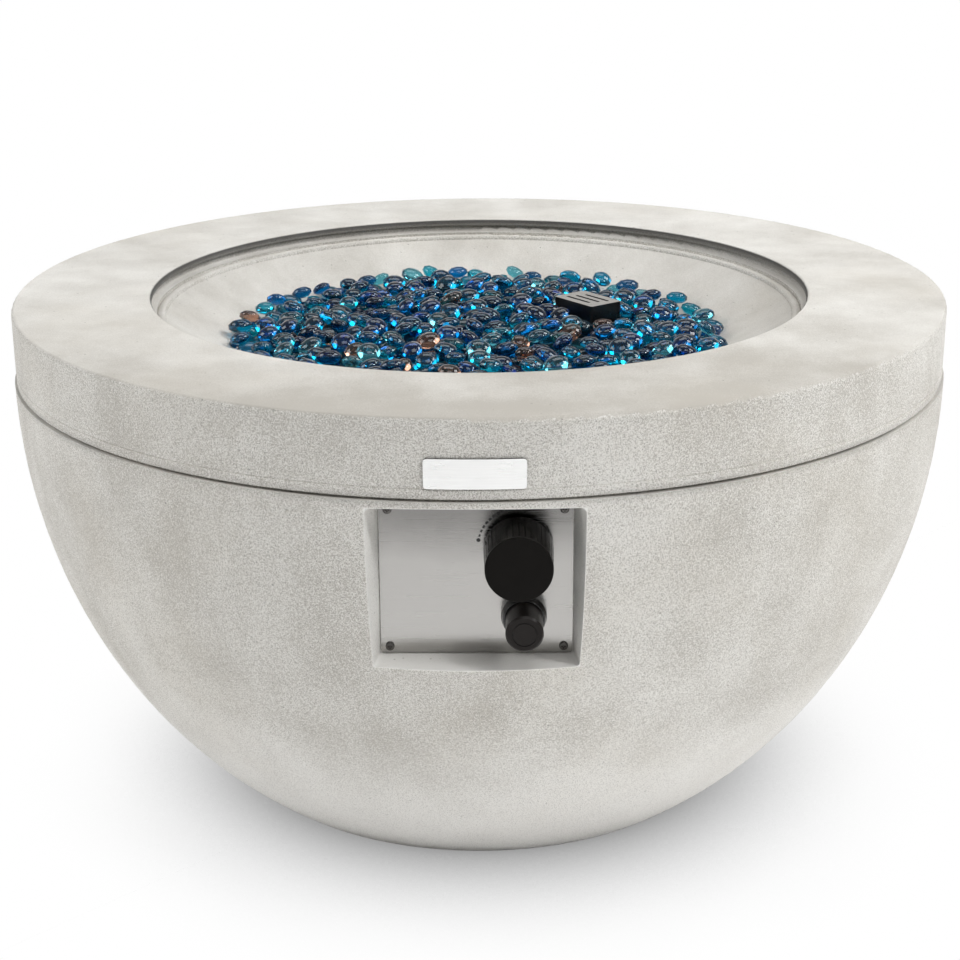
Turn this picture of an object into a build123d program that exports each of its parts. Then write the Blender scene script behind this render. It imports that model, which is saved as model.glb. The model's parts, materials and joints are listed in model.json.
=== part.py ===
from build123d import *
import os
from math import asin, atan2, cos, degrees, pi, radians, sin, sqrt, tan

# A round gas fire table: a cast bowl with a dish of glass beads over a ring burner, and a
# control plate in a pocket at the front. Millimetres, +Z up, the front towards -Y, and the
# origin on the floor under the bowl's axis.

os.makedirs("parts", exist_ok=True)

# Whole table
table_height = 388.0
foot_drop = 2.0
fit_gap = 0.3
slide_gap = 0.06
thread_gap = 0.1

# Steel pan
pan_radius = 143.0
pan_depth = 26.0
pan_sheet = 1.2
pan_flange = 20.0
pan_gap = 3.0
pan_nipple_gap = 0.7
pan_drain_radius = 4.0
pan_drain_inset = 28.0
pan_drain_count = 6

# Cast dish, from the pan's flange out to the seam
dish_floor_margin = 9.0
dish_slope_width = 68.6
dish_bead_width = 7.0
dish_thickness = 12.0
dish_edge_drop = 14.0
dish_bead_drop = 12.5
dish_slope_start = 16.0
dish_slope_drop = 36.0

# Mouth of the bowl, from the rim down to the seat of the dish
seam_inset = 3.7
lip_round = 2.5
lip_height = 5.0
lip_slope = 1.0
undercut = 4.2
ledge_drop = 11.0
ledge_corner = 4.0
seat_step = 19.0
seat_width = 16.0
mouth_ring_width = 36.0
mouth_ring_drop = 24.0

# Cast bowl, outside
rim_width = 102.9
rim_round = 3.0
band_setback = 1.4
band_height = 52.0
groove_width = 2.0
groove_depth = 3.0
groove_lip = 1.4
line_above_groove = 6.5
line_depth = 0.5
base_radius = 196.0

# Cast bowl, inside
wall = 14.0
slab_thickness = 26.0
base_thickness = 18.0
base_opening_radius = 130.0
inside_corner = 12.0

# Ring burner
ring_radius = 68.0
ring_tube = 16.0
ring_wall = 1.4
ring_corner = 6.0
ring_lift = 5.0
port_radius = 1.1
port_count = 24
arm_tube = 5.5
arm_bore = 4.0
hub_shoulder = 2.5
nipple_radius = 10.5
nipple_bore = 7.0
nipple_length = 36.0
burner_nut_flats = 34.0
burner_nut_height = 8.0

# Mixer and injector under the burner
mixer_radius = 15.0
mixer_length = 58.0
mixer_bore = 9.0
mixer_socket = 16.0
mixer_edge = 2.0
mixer_window = 5.0
mixer_window_rise = 15.0
mixer_window_turn = 45.0
mixer_window_count = 4
injector_radius = 5.0
injector_length = 12.0
injector_flats = 17.0
injector_head = 10.0
injector_socket = 5.0
injector_bore = 1.2

# Glass beads
glass_rise = 23.0
glass_edge_rise = 11.0
glass_edge_round = 7.0
glass_edge_bulge = 1.5
glass_spread = 17.0
glass_inner_margin = 1.0
glass_clearance = 0.4
burner_clearance = 0.6
pebble_radius = 22.0
pebble_height = 14.0
pebble_pitch = 40.0
pebble_rings = 4
pebbles_more_a_ring = 6
pebble_ring_turn = 17.0
heap_fall = 3.5

# Guard box and what stands in it
guard_bearing = 24.8
guard_ring_gap = 19.3
guard_turn = -52.3
guard_length = 46.0
guard_width = 31.0
guard_stand = 7.0
guard_sheet = 1.0
guard_corner = 2.0
guard_slot_length = 28.0
guard_slot_width = 2.6
guard_slot_pitch = 7.5
guard_slot_step = 2.5
guard_window_height = 26.0
guard_window_rise = 6.5
bracket_end_gap = 1.0
bracket_side_gap = 5.5
bracket_corner = 2.0
bracket_sheet = 1.5
bracket_hole_margin = 2.6
probe_spread = 9.0
probe_radius = 3.2
probe_tip_round = 2.5
probe_rise = 34.0
probe_tail = 18.0
probe_collar = 4.8
probe_collar_height = 2.5
ceramic_radius = 3.6
ceramic_rise = 20.0
rod_radius = 1.2
rod_rise = 36.0
rod_tail = 4.0

# Control pocket, its size set by the knob and the igniter in it
pocket_depth = 43.1
pocket_top_drop = 67.0
knob_x = 27.0
knob_to_side = 35.7
knob_below_top = 31.0
igniter_shift = 3.5
igniter_below_knob = 44.7
igniter_above_floor = 29.5
pocket_side_draft = 9.6
pocket_top_draft = 12.0
pocket_floor_draft = 2.2
pocket_corner = 5.0
pocket_back_corner = 1.6
pocket_wall = 11.0
window_margin = 3.0
box_margin = 6.0

# Control plate and its screws
plate_sheet = 1.5
plate_gap = 0.6
plate_corner = 1.5
screw_inset_x = 5.7
screw_inset_z = 4.7
screw_head_radius = 2.9
screw_head_height = 1.7
screw_head_round = 0.85
screw_shank_radius = 1.6
screw_length = 8.5
screw_hole_extra = 2.0
screw_slot_length = 2.9
screw_slot_width = 0.7
screw_slot_depth = 0.9

# Nameplate on the band
nameplate_width = 63.5
nameplate_height = 19.4
nameplate_drop = 35.2
nameplate_corner = 1.5
nameplate_sheet = 1.3

# Gas valve, its stem on the knob's axis
valve_wall = 7.0
valve_length = 50.0
valve_corner = 4.0
valve_edge = 2.0
neck_radius = 6.0
neck_length = 4.0
neck_wall = 8.5
stem_radius = 3.0
stem_flat = 1.5
stem_key = 4.0
stem_collar_radius = 5.4
stem_collar_length = 2.0
stem_cover = 7.2
chamber_gap = 0.8
chamber_length = 11.5
plug_radius = 10.0
plug_length = 26.0
plug_slot_depth = 19.0
plug_web = 1.5
plug_port = 2.6
key_engagement = 12.0
outlet_boss_radius = 8.0
outlet_boss_length = 12.0
outlet_socket = 6.0
valve_nut_flats = 17.0
valve_nut_height = 2.6
magnet_radius = 8.0
magnet_length = 22.0
magnet_edge = 1.5
magnet_setback = 36.0
magnet_cap_flats = 9.6
magnet_cap_length = 5.5

# Flare fitting for the hose, on the valve's left side
inlet_flats = 19.0
inlet_hex_height = 9.0
inlet_thread_radius = 7.94
inlet_thread_length = 12.0
inlet_nose_length = 4.0
inlet_nose_radius = 7.0
inlet_nose_taper = 30.0
inlet_shank = 7.0
inlet_shank_length = 5.0
inlet_bore = 3.0

# Knob
knob_radius = 22.4
knob_face_radius = 21.5
knob_length = 35.0
knob_gap = 6.2
knob_travel = 5.0
knob_edge = 0.9
knob_skin = 4.0
knob_face_thickness = 11.0
knob_hub_radius = 6.5
knob_hub_clearance = 0.8
knob_rib_count = 36
knob_rib_radius = 0.4
knob_rib_start = 3.0

# Igniter
collar_wall = 2.4
collar_length = 15.0
collar_dome = 6.0
collar_dome_taper = 13.0
collar_edge = 0.6
barrel_radius = 11.0
barrel_flange_width = 2.6
barrel_flange = 3.0
barrel_neck_radius = 11.6
barrel_neck_length = 9.0
barrel_end = 3.0
button_radius = 12.1
button_length = 24.5
button_edge = 1.2
button_ring_radius = 8.2
button_ring_width = 0.9
button_ring_depth = 0.5
button_travel = 4.0
button_gap = 0.5
plunger_radius = 8.4
plunger_length = 15.0
cell_radius = 5.25
cell_length = 44.5
cell_tip_radius = 1.9
cell_tip_height = 0.8
spring_room = 10.0
terminal_width = 6.3
terminal_sheet = 0.8
terminal_length = 9.0
terminal_spread = 4.5

# Springs
stem_spring_wire = 0.45
stem_spring_turns = 4
button_spring_wire = 0.4
button_spring_radius = 3.6
button_spring_turns = 5

# Gas tube and leads: how they leave their ends, then each bend's share of the way between
# the two, and how far it lies to the right of and below the straight line there
supply_radius = 3.2
supply_bore = 2.2
supply_start = (0, 34, 0)
supply_end = (0, 0, -48)
supply_bends = ((0.24, 1.5, 4), (0.47, -1.5, 22), (0.68, -3.5, 37), (0.87, -2.5, 34))
lead_radius = 1.5
lead_start = (22, 0, 0)
lead_end = (0, 0, -25)
lead_bends = (
    (0.1, 26, 6),
    (0.23, 38, 21),
    (0.39, 40, 31),
    (0.55, 37, 36),
    (0.72, 29, 36),
    (0.86, 18, 32),
    (0.95, 4, 19),
)
wire_radius = 1.6
wire_start = (0, 24, 0)
wire_end = (0, 0, -43)
wire_bends = ((0.16, 6, 10), (0.34, 12, 17), (0.53, 11, 21), (0.71, 5, 21), (0.87, 0.6, 15))
straight_share = 0.45

# Hose outlet at the back and the feet
outlet_height = 95.0
outlet_hole_radius = 16.0
outlet_seat = 2.6
grommet_flange_radius = 22.0
grommet_flange = 4.0
grommet_flange_round = 1.0
grommet_bore = 11.0
grommet_lip = 2.2
grommet_lip_height = 3.0
grommet_lip_gap = 2.0
foot_radius = 16.0
foot_height = 6.0
foot_edge = 1.0
foot_turn = 45.0
foot_count = 4

# Radii that follow from the sizes above, from the pan outwards
dish_hole_radius = pan_radius + pan_gap
dish_floor_radius = pan_radius + pan_flange + dish_floor_margin
slope_top_radius = dish_floor_radius + dish_slope_width
seam_radius = slope_top_radius + dish_bead_width
seat_inner = seam_radius - seat_width
mouth_radius = seam_radius + seam_inset
band_radius = mouth_radius + rim_width
bowl_radius = band_radius + band_setback

# Levels that follow, from the rim down
groove_top = table_height - band_height
groove_bottom = groove_top - groove_width
bowl_centre = groove_bottom - groove_lip
bowl_half_height = (bowl_centre - foot_drop) / sqrt(1 - (base_radius / bowl_radius) ** 2)
slab_bottom = table_height - slab_thickness
lip_bottom = table_height - lip_height
ledge_level = table_height - ledge_drop
seat_level = ledge_level - seat_step
base_top = foot_drop + base_thickness
slope_top = table_height - dish_slope_start
slope_bottom = slope_top - dish_slope_drop
pan_top = slope_bottom + pan_sheet
pan_floor = pan_top - pan_depth

# The control pocket
valve_width = 2 * (plug_radius + valve_wall)
hole_margin = barrel_neck_radius + fit_gap
barrel_flange_radius = hole_margin + barrel_flange_width
igniter_x = knob_x + igniter_shift
pocket_half_width = knob_x + knob_to_side
pocket_back_height = knob_below_top + igniter_below_knob + igniter_above_floor
pocket_back_y = pocket_depth - bowl_radius
pocket_mouth_y = -bowl_radius - wall
pocket_run = pocket_back_y - pocket_mouth_y
pocket_top = table_height - pocket_top_drop
pocket_bottom = pocket_top - pocket_back_height
pocket_middle = (pocket_top + pocket_bottom) / 2
knob_level = pocket_top - knob_below_top
igniter_level = knob_level - igniter_below_knob
mouth_half_width = pocket_half_width + pocket_run * tan(radians(pocket_side_draft))
mouth_top = pocket_top + pocket_run * tan(radians(pocket_top_draft))
mouth_bottom = pocket_bottom - pocket_run * tan(radians(pocket_floor_draft))
window_half_width = knob_x + valve_width / 2 + window_margin
window_top = knob_level + valve_width / 2 + window_margin
window_bottom = igniter_level - barrel_flange_radius - window_margin
screw_x = pocket_half_width - plate_gap - screw_inset_x
screw_z = pocket_back_height / 2 - plate_gap - screw_inset_z
plate_plane = Plane.XZ.offset(-pocket_back_y)


def outline_radius(level, reach, half_height):
    """Radius at a level of an egg with its widest circle at bowl_centre."""
    return reach * sqrt(1 - ((level - bowl_centre) / half_height) ** 2)


def level_angle(level, half_height):
    """Angle of that level on the egg's ellipse, in degrees."""
    return degrees(asin((level - bowl_centre) / half_height))


def egg_arc(reach, half_height, low, high):
    """Arc of the egg's outline from a low level up to a high one."""
    start = level_angle(low, half_height)
    size = level_angle(high, half_height) - start
    return EllipticalCenterArc((0, bowl_centre), reach, half_height, start_angle=start, arc_size=size)


def finish(piece, name):
    """Label a finished piece and write its file."""
    piece.part.label = name
    export_step(piece.part, f"parts/{name}.step")


# Cast bowl, and the block round its control pocket
inner_reach = bowl_radius - wall
inner_half_height = bowl_half_height - wall
core_reach = bowl_radius - wall / 2
core_half_height = bowl_half_height - wall / 2
core_top = slab_bottom + wall / 2

with BuildPart() as control_box:
    with BuildSketch(Plane.XZ):
        with BuildLine():
            core = egg_arc(core_reach, core_half_height, base_top, core_top)
            Polyline(core @ 1, (0, core_top), (0, base_top), core @ 0)
        make_face()
    revolve(axis=Axis.Z)
    with Locations((0, pocket_back_y + pocket_wall, pocket_bottom - pocket_wall)):
        Box(
            2 * (pocket_half_width + pocket_wall + box_margin),
            bowl_radius,
            core_top - pocket_bottom + pocket_wall,
            align=(Align.CENTER, Align.MAX, Align.MIN),
            mode=Mode.INTERSECT,
        )

outlet_y = outline_radius(outlet_height, bowl_radius, bowl_half_height)
outlet_slope = degrees(atan2((bowl_radius / bowl_half_height) ** 2 * (bowl_centre - outlet_height), outlet_y))
outlet_plane = Plane(
    origin=(0, outlet_y, outlet_height),
    x_dir=(1, 0, 0),
    z_dir=(0, cos(radians(outlet_slope)), -sin(radians(outlet_slope))),
)
foot_circle = (base_opening_radius + outline_radius(base_top, inner_reach, inner_half_height)) / 2
foot_places = PolarLocations(foot_circle, foot_count, start_angle=foot_turn)

with BuildPart() as bowl_shell:
    with BuildSketch(Plane.XZ):
        with BuildLine():
            outside = egg_arc(bowl_radius, bowl_half_height, foot_drop, groove_bottom)
            Polyline(
                outside @ 1,
                (band_radius - groove_depth, groove_bottom),
                (band_radius - groove_depth, groove_top),
                (band_radius, groove_top),
                (band_radius, groove_top + line_above_groove - line_depth),
                (band_radius - line_depth, groove_top + line_above_groove),
                (band_radius, groove_top + line_above_groove + line_depth),
                (band_radius, table_height - rim_round),
            )
            rim_edge = RadiusArc(
                (band_radius, table_height - rim_round), (band_radius - rim_round, table_height), -rim_round
            )
            Line(rim_edge @ 1, (mouth_radius + lip_round, table_height))
            lip_edge = RadiusArc(
                (mouth_radius + lip_round, table_height), (mouth_radius, table_height - lip_round), -lip_round
            )
            Polyline(
                lip_edge @ 1,
                (mouth_radius, lip_bottom),
                (mouth_radius + undercut, lip_bottom - lip_slope),
                (mouth_radius + undercut, ledge_level + ledge_corner),
            )
            RadiusArc(
                (mouth_radius + undercut, ledge_level + ledge_corner),
                (mouth_radius + undercut - ledge_corner, ledge_level),
                ledge_corner,
            )
            inside = egg_arc(inner_reach, inner_half_height, base_top, slab_bottom - inside_corner)
            Polyline(
                (mouth_radius + undercut - ledge_corner, ledge_level),
                (seam_radius, ledge_level),
                (seam_radius, seat_level),
                (seat_inner, seat_level),
                (seat_inner, slab_bottom - mouth_ring_drop),
                (seat_inner + mouth_ring_width, slab_bottom - mouth_ring_drop),
                (seat_inner + mouth_ring_width + mouth_ring_drop, slab_bottom),
                ((inside @ 1).X - inside_corner, slab_bottom),
                inside @ 1,
            )
            Polyline(
                inside @ 0,
                (base_opening_radius, base_top),
                (base_opening_radius, foot_drop),
                outside @ 0,
            )
        make_face()
    revolve(axis=Axis.Z)
    add(control_box.part)
    with BuildSketch(plate_plane):
        with Locations((0, pocket_middle)):
            RectangleRounded(2 * pocket_half_width, pocket_back_height, pocket_back_corner)
    with BuildSketch(Plane.XZ.offset(-pocket_mouth_y)):
        with Locations((0, (mouth_top + mouth_bottom) / 2)):
            RectangleRounded(2 * mouth_half_width, mouth_top - mouth_bottom, pocket_corner)
    loft(mode=Mode.SUBTRACT)
    with BuildSketch(plate_plane):
        with Locations((0, (window_top + window_bottom) / 2)):
            RectangleRounded(2 * window_half_width, window_top - window_bottom, pocket_corner)
    extrude(amount=-2 * pocket_wall, mode=Mode.SUBTRACT)
    with BuildSketch(plate_plane):
        with Locations((0, pocket_middle)):
            with GridLocations(2 * screw_x, 2 * screw_z, 2, 2):
                Circle(screw_shank_radius + thread_gap)
    extrude(amount=plate_sheet - screw_length - screw_hole_extra, mode=Mode.SUBTRACT)
    with BuildSketch(outlet_plane.offset(-outlet_seat)):
        Circle(grommet_flange_radius + fit_gap)
    extrude(amount=wall, mode=Mode.SUBTRACT)
    with BuildSketch(outlet_plane):
        Circle(outlet_hole_radius)
    extrude(amount=-2 * wall, mode=Mode.SUBTRACT)
    with BuildSketch(Plane.XY.offset(foot_drop)):
        with foot_places:
            Circle(foot_radius + fit_gap)
    extrude(amount=foot_height - foot_drop, mode=Mode.SUBTRACT)
finish(bowl_shell, "bowl_shell")

# Cast dish, hung on the seat by its rim
dish_width_squared = slope_top_radius**2 - dish_floor_radius**2
dish_centre = (slope_top + slope_bottom + dish_width_squared / dish_slope_drop) / 2
dish_round = sqrt(slope_top_radius**2 + (dish_centre - slope_top) ** 2)
dish_under_round = dish_round + dish_thickness
dish_edge_radius = seam_radius - fit_gap
dish_skirt_radius = seat_inner - 2 * fit_gap
dish_edge_top = table_height - dish_edge_drop


def dish_level(radius, round_radius):
    """Level of a spherical face of the dish at a radius from the axis."""
    return dish_centre - sqrt(round_radius**2 - radius**2)


def dish_arc(round_radius, inner, outer):
    """Arc of such a face between two radii, through its middle."""
    middle = (inner + outer) / 2
    return ThreePointArc(
        (inner, dish_level(inner, round_radius)),
        (middle, dish_level(middle, round_radius)),
        (outer, dish_level(outer, round_radius)),
    )


with BuildPart() as fire_dish:
    with BuildSketch(Plane.XZ):
        with BuildLine():
            top_face = dish_arc(dish_round, dish_floor_radius, slope_top_radius)
            bead_top = (dish_edge_radius - dish_bead_width / 2, table_height - dish_bead_drop)
            ThreePointArc(top_face @ 1, bead_top, (dish_edge_radius, dish_edge_top))
            under_face = dish_arc(dish_under_round, dish_floor_radius, dish_skirt_radius)
            Polyline(
                (dish_edge_radius, dish_edge_top),
                (dish_edge_radius, seat_level),
                (dish_skirt_radius, seat_level),
                under_face @ 1,
            )
            Polyline(
                under_face @ 0,
                (dish_hole_radius, (under_face @ 0).Y),
                (dish_hole_radius, slope_bottom),
                top_face @ 0,
            )
        make_face()
    revolve(axis=Axis.Z)
finish(fire_dish, "fire_dish")

# Steel pan, dropped into the dish's hole
guard_reach = ring_radius + ring_tube / 2 + guard_ring_gap
guard_plane = Plane(
    origin=(guard_reach * cos(radians(guard_bearing)), guard_reach * sin(radians(guard_bearing)), 0),
    x_dir=(cos(radians(guard_turn)), sin(radians(guard_turn)), 0),
    z_dir=(0, 0, 1),
)

bracket_hole = ceramic_radius + bracket_hole_margin

with BuildPart() as burner_pan:
    with BuildSketch(Plane.XZ):
        with BuildLine():
            Polyline(
                (0, pan_floor - pan_sheet),
                (pan_radius, pan_floor - pan_sheet),
                (pan_radius, pan_top - pan_sheet),
                (pan_radius + pan_flange, pan_top - pan_sheet),
                (pan_radius + pan_flange, pan_top),
                (pan_radius - pan_sheet, pan_top),
                (pan_radius - pan_sheet, pan_floor),
                (0, pan_floor),
                close=True,
            )
        make_face()
    revolve(axis=Axis.Z)
    with BuildSketch(Plane.XY.offset(pan_floor)):
        Circle(nipple_radius + pan_nipple_gap)
        with PolarLocations(pan_radius - pan_drain_inset, pan_drain_count):
            Circle(pan_drain_radius)
    extrude(amount=-2 * pan_sheet, mode=Mode.SUBTRACT)
    with BuildSketch(guard_plane.offset(pan_floor)):
        Rectangle(2 * (probe_spread + bracket_hole), 2 * bracket_hole)
    extrude(amount=-2 * pan_sheet, mode=Mode.SUBTRACT)
finish(burner_pan, "burner_pan")

# Ring burner: ring, two arms and the hub with its threaded nipple
ring_level = pan_floor + ring_lift + ring_tube / 2
ring_top = ring_level + ring_tube / 2
ring_hollow = ring_tube - 2 * ring_wall
arm_reach = ring_radius - ring_tube / 4
nipple_end = pan_floor - nipple_length

with BuildPart() as burner_ring:
    with BuildSketch(Plane.XZ):
        with Locations((ring_radius, ring_level)):
            RectangleRounded(ring_tube, ring_tube, ring_corner)
    revolve(axis=Axis.Z)
    with BuildSketch(Plane.YZ):
        with Locations((0, ring_level)):
            Circle(arm_tube)
    extrude(amount=arm_reach, both=True)
    with BuildSketch(Plane.XY.offset(pan_floor)):
        Circle(nipple_radius + hub_shoulder)
    extrude(amount=ring_top - pan_floor)
    with BuildSketch(Plane.XY.offset(nipple_end)):
        Circle(nipple_radius)
    extrude(amount=nipple_length)
    with BuildSketch(Plane.XZ):
        with Locations((ring_radius, ring_level)):
            RectangleRounded(ring_hollow, ring_hollow, ring_corner - ring_wall)
    revolve(axis=Axis.Z, mode=Mode.SUBTRACT)
    with BuildSketch(Plane.YZ):
        with Locations((0, ring_level)):
            Circle(arm_bore)
    extrude(amount=arm_reach, both=True, mode=Mode.SUBTRACT)
    with BuildSketch(Plane.XY.offset(nipple_end)):
        Circle(nipple_bore)
    extrude(amount=ring_level - nipple_end, mode=Mode.SUBTRACT)
    with BuildSketch(Plane.XY.offset(ring_level)):
        with PolarLocations(ring_radius, port_count, start_angle=180 / port_count):
            Circle(port_radius)
    extrude(amount=ring_tube, mode=Mode.SUBTRACT)
finish(burner_ring, "burner_ring")


def nut(flats, height, bore, plane):
    """A hexagon nut that stands on a plane."""
    with BuildPart() as hexagon:
        with BuildSketch(plane):
            RegularPolygon(flats / 2, 6, major_radius=False)
            Circle(bore, mode=Mode.SUBTRACT)
        extrude(amount=height)
    return hexagon


burner_nut_plane = Plane.XY.offset(pan_floor - pan_sheet - burner_nut_height)
burner_nut = nut(burner_nut_flats, burner_nut_height, nipple_radius + thread_gap, burner_nut_plane)
finish(burner_nut, "burner_nut")

# Mixer on the nipple's end, with its air holes, and the injector in its foot
mixer_top = nipple_end + mixer_socket
mixer_bottom = mixer_top - mixer_length
window_level = mixer_bottom + injector_length + mixer_window_rise

with BuildPart() as air_mixer:
    with BuildSketch(Plane.XY.offset(mixer_bottom)):
        Circle(mixer_radius)
    extrude(amount=mixer_length)
    chamfer(air_mixer.edges().group_by(Axis.Z)[0], mixer_edge)
    with BuildSketch(Plane.XY.offset(nipple_end)):
        Circle(nipple_radius + thread_gap)
    extrude(amount=mixer_socket, mode=Mode.SUBTRACT)
    with BuildSketch(Plane.XY.offset(mixer_bottom + injector_length)):
        Circle(mixer_bore)
    extrude(amount=nipple_end - mixer_bottom - injector_length, mode=Mode.SUBTRACT)
    with BuildSketch(Plane.XY.offset(mixer_bottom)):
        Circle(injector_radius + thread_gap)
    extrude(amount=injector_length, mode=Mode.SUBTRACT)
    for index in range(mixer_window_count):
        turn = radians(mixer_window_turn + 360 / mixer_window_count * index)
        with BuildSketch(Plane(origin=(0, 0, window_level), z_dir=(cos(turn), sin(turn), 0))):
            Circle(mixer_window)
        extrude(amount=2 * mixer_radius, mode=Mode.SUBTRACT)
finish(air_mixer, "air_mixer")

injector_foot = mixer_bottom - injector_head

with BuildPart() as gas_injector:
    with BuildSketch(Plane.XY.offset(injector_foot)):
        RegularPolygon(injector_flats / 2, 6, major_radius=False)
    extrude(amount=injector_head)
    with BuildSketch(Plane.XY.offset(mixer_bottom)):
        Circle(injector_radius)
    extrude(amount=injector_length)
    with BuildSketch(Plane.XY.offset(injector_foot)):
        Circle(supply_radius + slide_gap)
    extrude(amount=injector_socket, mode=Mode.SUBTRACT)
    with BuildSketch(Plane.XY.offset(injector_foot)):
        Circle(injector_bore)
    extrude(amount=injector_head + injector_length, mode=Mode.SUBTRACT)
finish(gas_injector, "gas_injector")

# Glass bed: fills the pan round the burner and heaps over its flange, with rings of pebbles on top
glass_radius = dish_floor_radius + glass_spread
glass_top = slope_bottom + glass_rise
glass_edge = slope_bottom + glass_edge_rise
glass_shoulder = glass_radius - glass_edge_round
glass_floor = pan_floor + glass_clearance
glass_ledge = slope_bottom + glass_clearance
glass_bore = pan_radius - pan_sheet - glass_clearance
flange_reach = pan_radius + pan_flange + glass_clearance
bed_round = dish_round - glass_clearance
burner_top = ring_top + burner_clearance
burner_height = burner_top - pan_floor
ring_room = ring_tube / 2 + burner_clearance
guard_top = glass_top + guard_stand
pebble_latitude = degrees(asin(1 - pebble_height / pebble_radius))
on_foot = (Align.CENTER, Align.CENTER, Align.MIN)

with BuildPart() as fire_glass:
    with BuildSketch(Plane.XZ):
        with BuildLine():
            skirt = dish_arc(bed_round, dish_floor_radius, glass_radius)
            edge_middle = (glass_radius - glass_edge_bulge, (glass_edge + (skirt @ 1).Y) / 2)
            ThreePointArc(skirt @ 1, edge_middle, (glass_shoulder, glass_edge))
            Polyline(
                (glass_shoulder, glass_edge),
                (0, glass_edge),
                (0, glass_floor),
                (glass_bore, glass_floor),
                (glass_bore, pan_top + glass_clearance),
                (flange_reach, pan_top + glass_clearance),
                (flange_reach, glass_ledge),
                (dish_floor_radius - glass_inner_margin, glass_ledge),
                skirt @ 0,
            )
        make_face()
    revolve(axis=Axis.Z)
    for ring in range(pebble_rings + 1):
        pebble_foot = glass_top - heap_fall * (ring / pebble_rings) ** 2 - pebble_height
        pebbles = max(1, ring * pebbles_more_a_ring)
        with Locations((0, 0, pebble_foot)):
            with PolarLocations(ring * pebble_pitch, pebbles, start_angle=ring * pebble_ring_turn):
                Sphere(pebble_radius, arc_size1=pebble_latitude, align=on_foot)
    with BuildSketch(Plane.XZ):
        with Locations((ring_radius, pan_floor + burner_height / 2)):
            Rectangle(2 * ring_room, burner_height)
        with Locations((0, pan_floor + burner_height / 2)):
            Rectangle(
                nipple_radius + hub_shoulder + burner_clearance,
                burner_height,
                align=(Align.MIN, Align.CENTER),
            )
    revolve(axis=Axis.Z, mode=Mode.SUBTRACT)
    with BuildSketch(Plane.XY.offset(pan_floor)):
        Rectangle(2 * ring_radius, 2 * (arm_tube + burner_clearance))
    extrude(amount=ring_level + arm_tube + burner_clearance - pan_floor, mode=Mode.SUBTRACT)
    with BuildSketch(guard_plane.offset(pan_floor)):
        Rectangle(guard_length + 2 * glass_clearance, guard_width + 2 * glass_clearance)
    extrude(amount=guard_top - pan_floor, mode=Mode.SUBTRACT)
finish(fire_glass, "fire_glass")

# Slotted guard box over the spark and the probe
with BuildPart() as guard_box:
    with BuildSketch(guard_plane.offset(pan_floor)):
        RectangleRounded(guard_length, guard_width, guard_corner)
    extrude(amount=guard_top - pan_floor)
    with BuildSketch(guard_plane.offset(pan_floor)):
        RectangleRounded(
            guard_length - 2 * guard_sheet, guard_width - 2 * guard_sheet, guard_corner - guard_sheet
        )
    extrude(amount=guard_top - pan_floor - guard_sheet, mode=Mode.SUBTRACT)
    with BuildSketch(guard_plane.offset(guard_top)):
        for row in (-1, 0, 1):
            with Locations((row * guard_slot_step, row * guard_slot_pitch)):
                SlotOverall(guard_slot_length, guard_slot_width)
    extrude(amount=-2 * guard_sheet, mode=Mode.SUBTRACT)
    burner_side = Plane(
        origin=guard_plane.from_local_coords((0, -guard_width / 2, 0)),
        x_dir=guard_plane.x_dir,
        z_dir=-guard_plane.y_dir,
    )
    with BuildSketch(burner_side):
        with Locations((0, ring_top + guard_window_rise)):
            Rectangle(2 * probe_spread + 2 * ceramic_radius, guard_window_height)
    extrude(amount=-guard_width / 2, mode=Mode.SUBTRACT)
finish(guard_box, "guard_box")

with BuildPart() as pilot_bracket:
    with BuildSketch(guard_plane.offset(pan_floor)):
        RectangleRounded(
            guard_length - 2 * (guard_sheet + bracket_end_gap),
            guard_width - 2 * (guard_sheet + bracket_side_gap),
            bracket_corner,
        )
        with Locations((probe_spread, 0)):
            Circle(probe_radius + slide_gap, mode=Mode.SUBTRACT)
        with Locations((-probe_spread, 0)):
            Circle(ceramic_radius + slide_gap, mode=Mode.SUBTRACT)
    extrude(amount=bracket_sheet)
finish(pilot_bracket, "pilot_bracket")

bracket_top = pan_floor + bracket_sheet
tail_end = pan_floor - probe_tail

with BuildPart() as thermocouple:
    with BuildSketch(guard_plane.offset(tail_end)):
        with Locations((probe_spread, 0)):
            Circle(probe_radius)
    extrude(amount=bracket_top + probe_rise - tail_end)
    fillet(thermocouple.edges().group_by(Axis.Z)[-1], min(probe_tip_round, probe_radius - slide_gap))
    with BuildSketch(guard_plane.offset(bracket_top)):
        with Locations((probe_spread, 0)):
            Circle(probe_collar)
    extrude(amount=probe_collar_height)
finish(thermocouple, "thermocouple")

with BuildPart() as electrode_ceramic:
    with BuildSketch(guard_plane.offset(tail_end)):
        with Locations((-probe_spread, 0)):
            Circle(ceramic_radius)
    extrude(amount=bracket_top + ceramic_rise - tail_end)
    with BuildSketch(guard_plane.offset(bracket_top)):
        with Locations((-probe_spread, 0)):
            Circle(probe_collar)
    extrude(amount=probe_collar_height)
    with BuildSketch(guard_plane.offset(tail_end)):
        with Locations((-probe_spread, 0)):
            Circle(rod_radius + slide_gap)
    extrude(amount=bracket_top + ceramic_rise - tail_end, mode=Mode.SUBTRACT)
finish(electrode_ceramic, "electrode_ceramic")

rod_end = tail_end - rod_tail

with BuildPart() as electrode_rod:
    with BuildSketch(guard_plane.offset(rod_end)):
        with Locations((-probe_spread, 0)):
            Circle(rod_radius)
    extrude(amount=bracket_top + rod_rise - rod_end)
finish(electrode_rod, "electrode_rod")

# Control plate with its screws, seated on the pocket's back
plate_front_y = pocket_back_y - plate_sheet
front_plane = Plane.XZ.offset(-plate_front_y)

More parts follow.
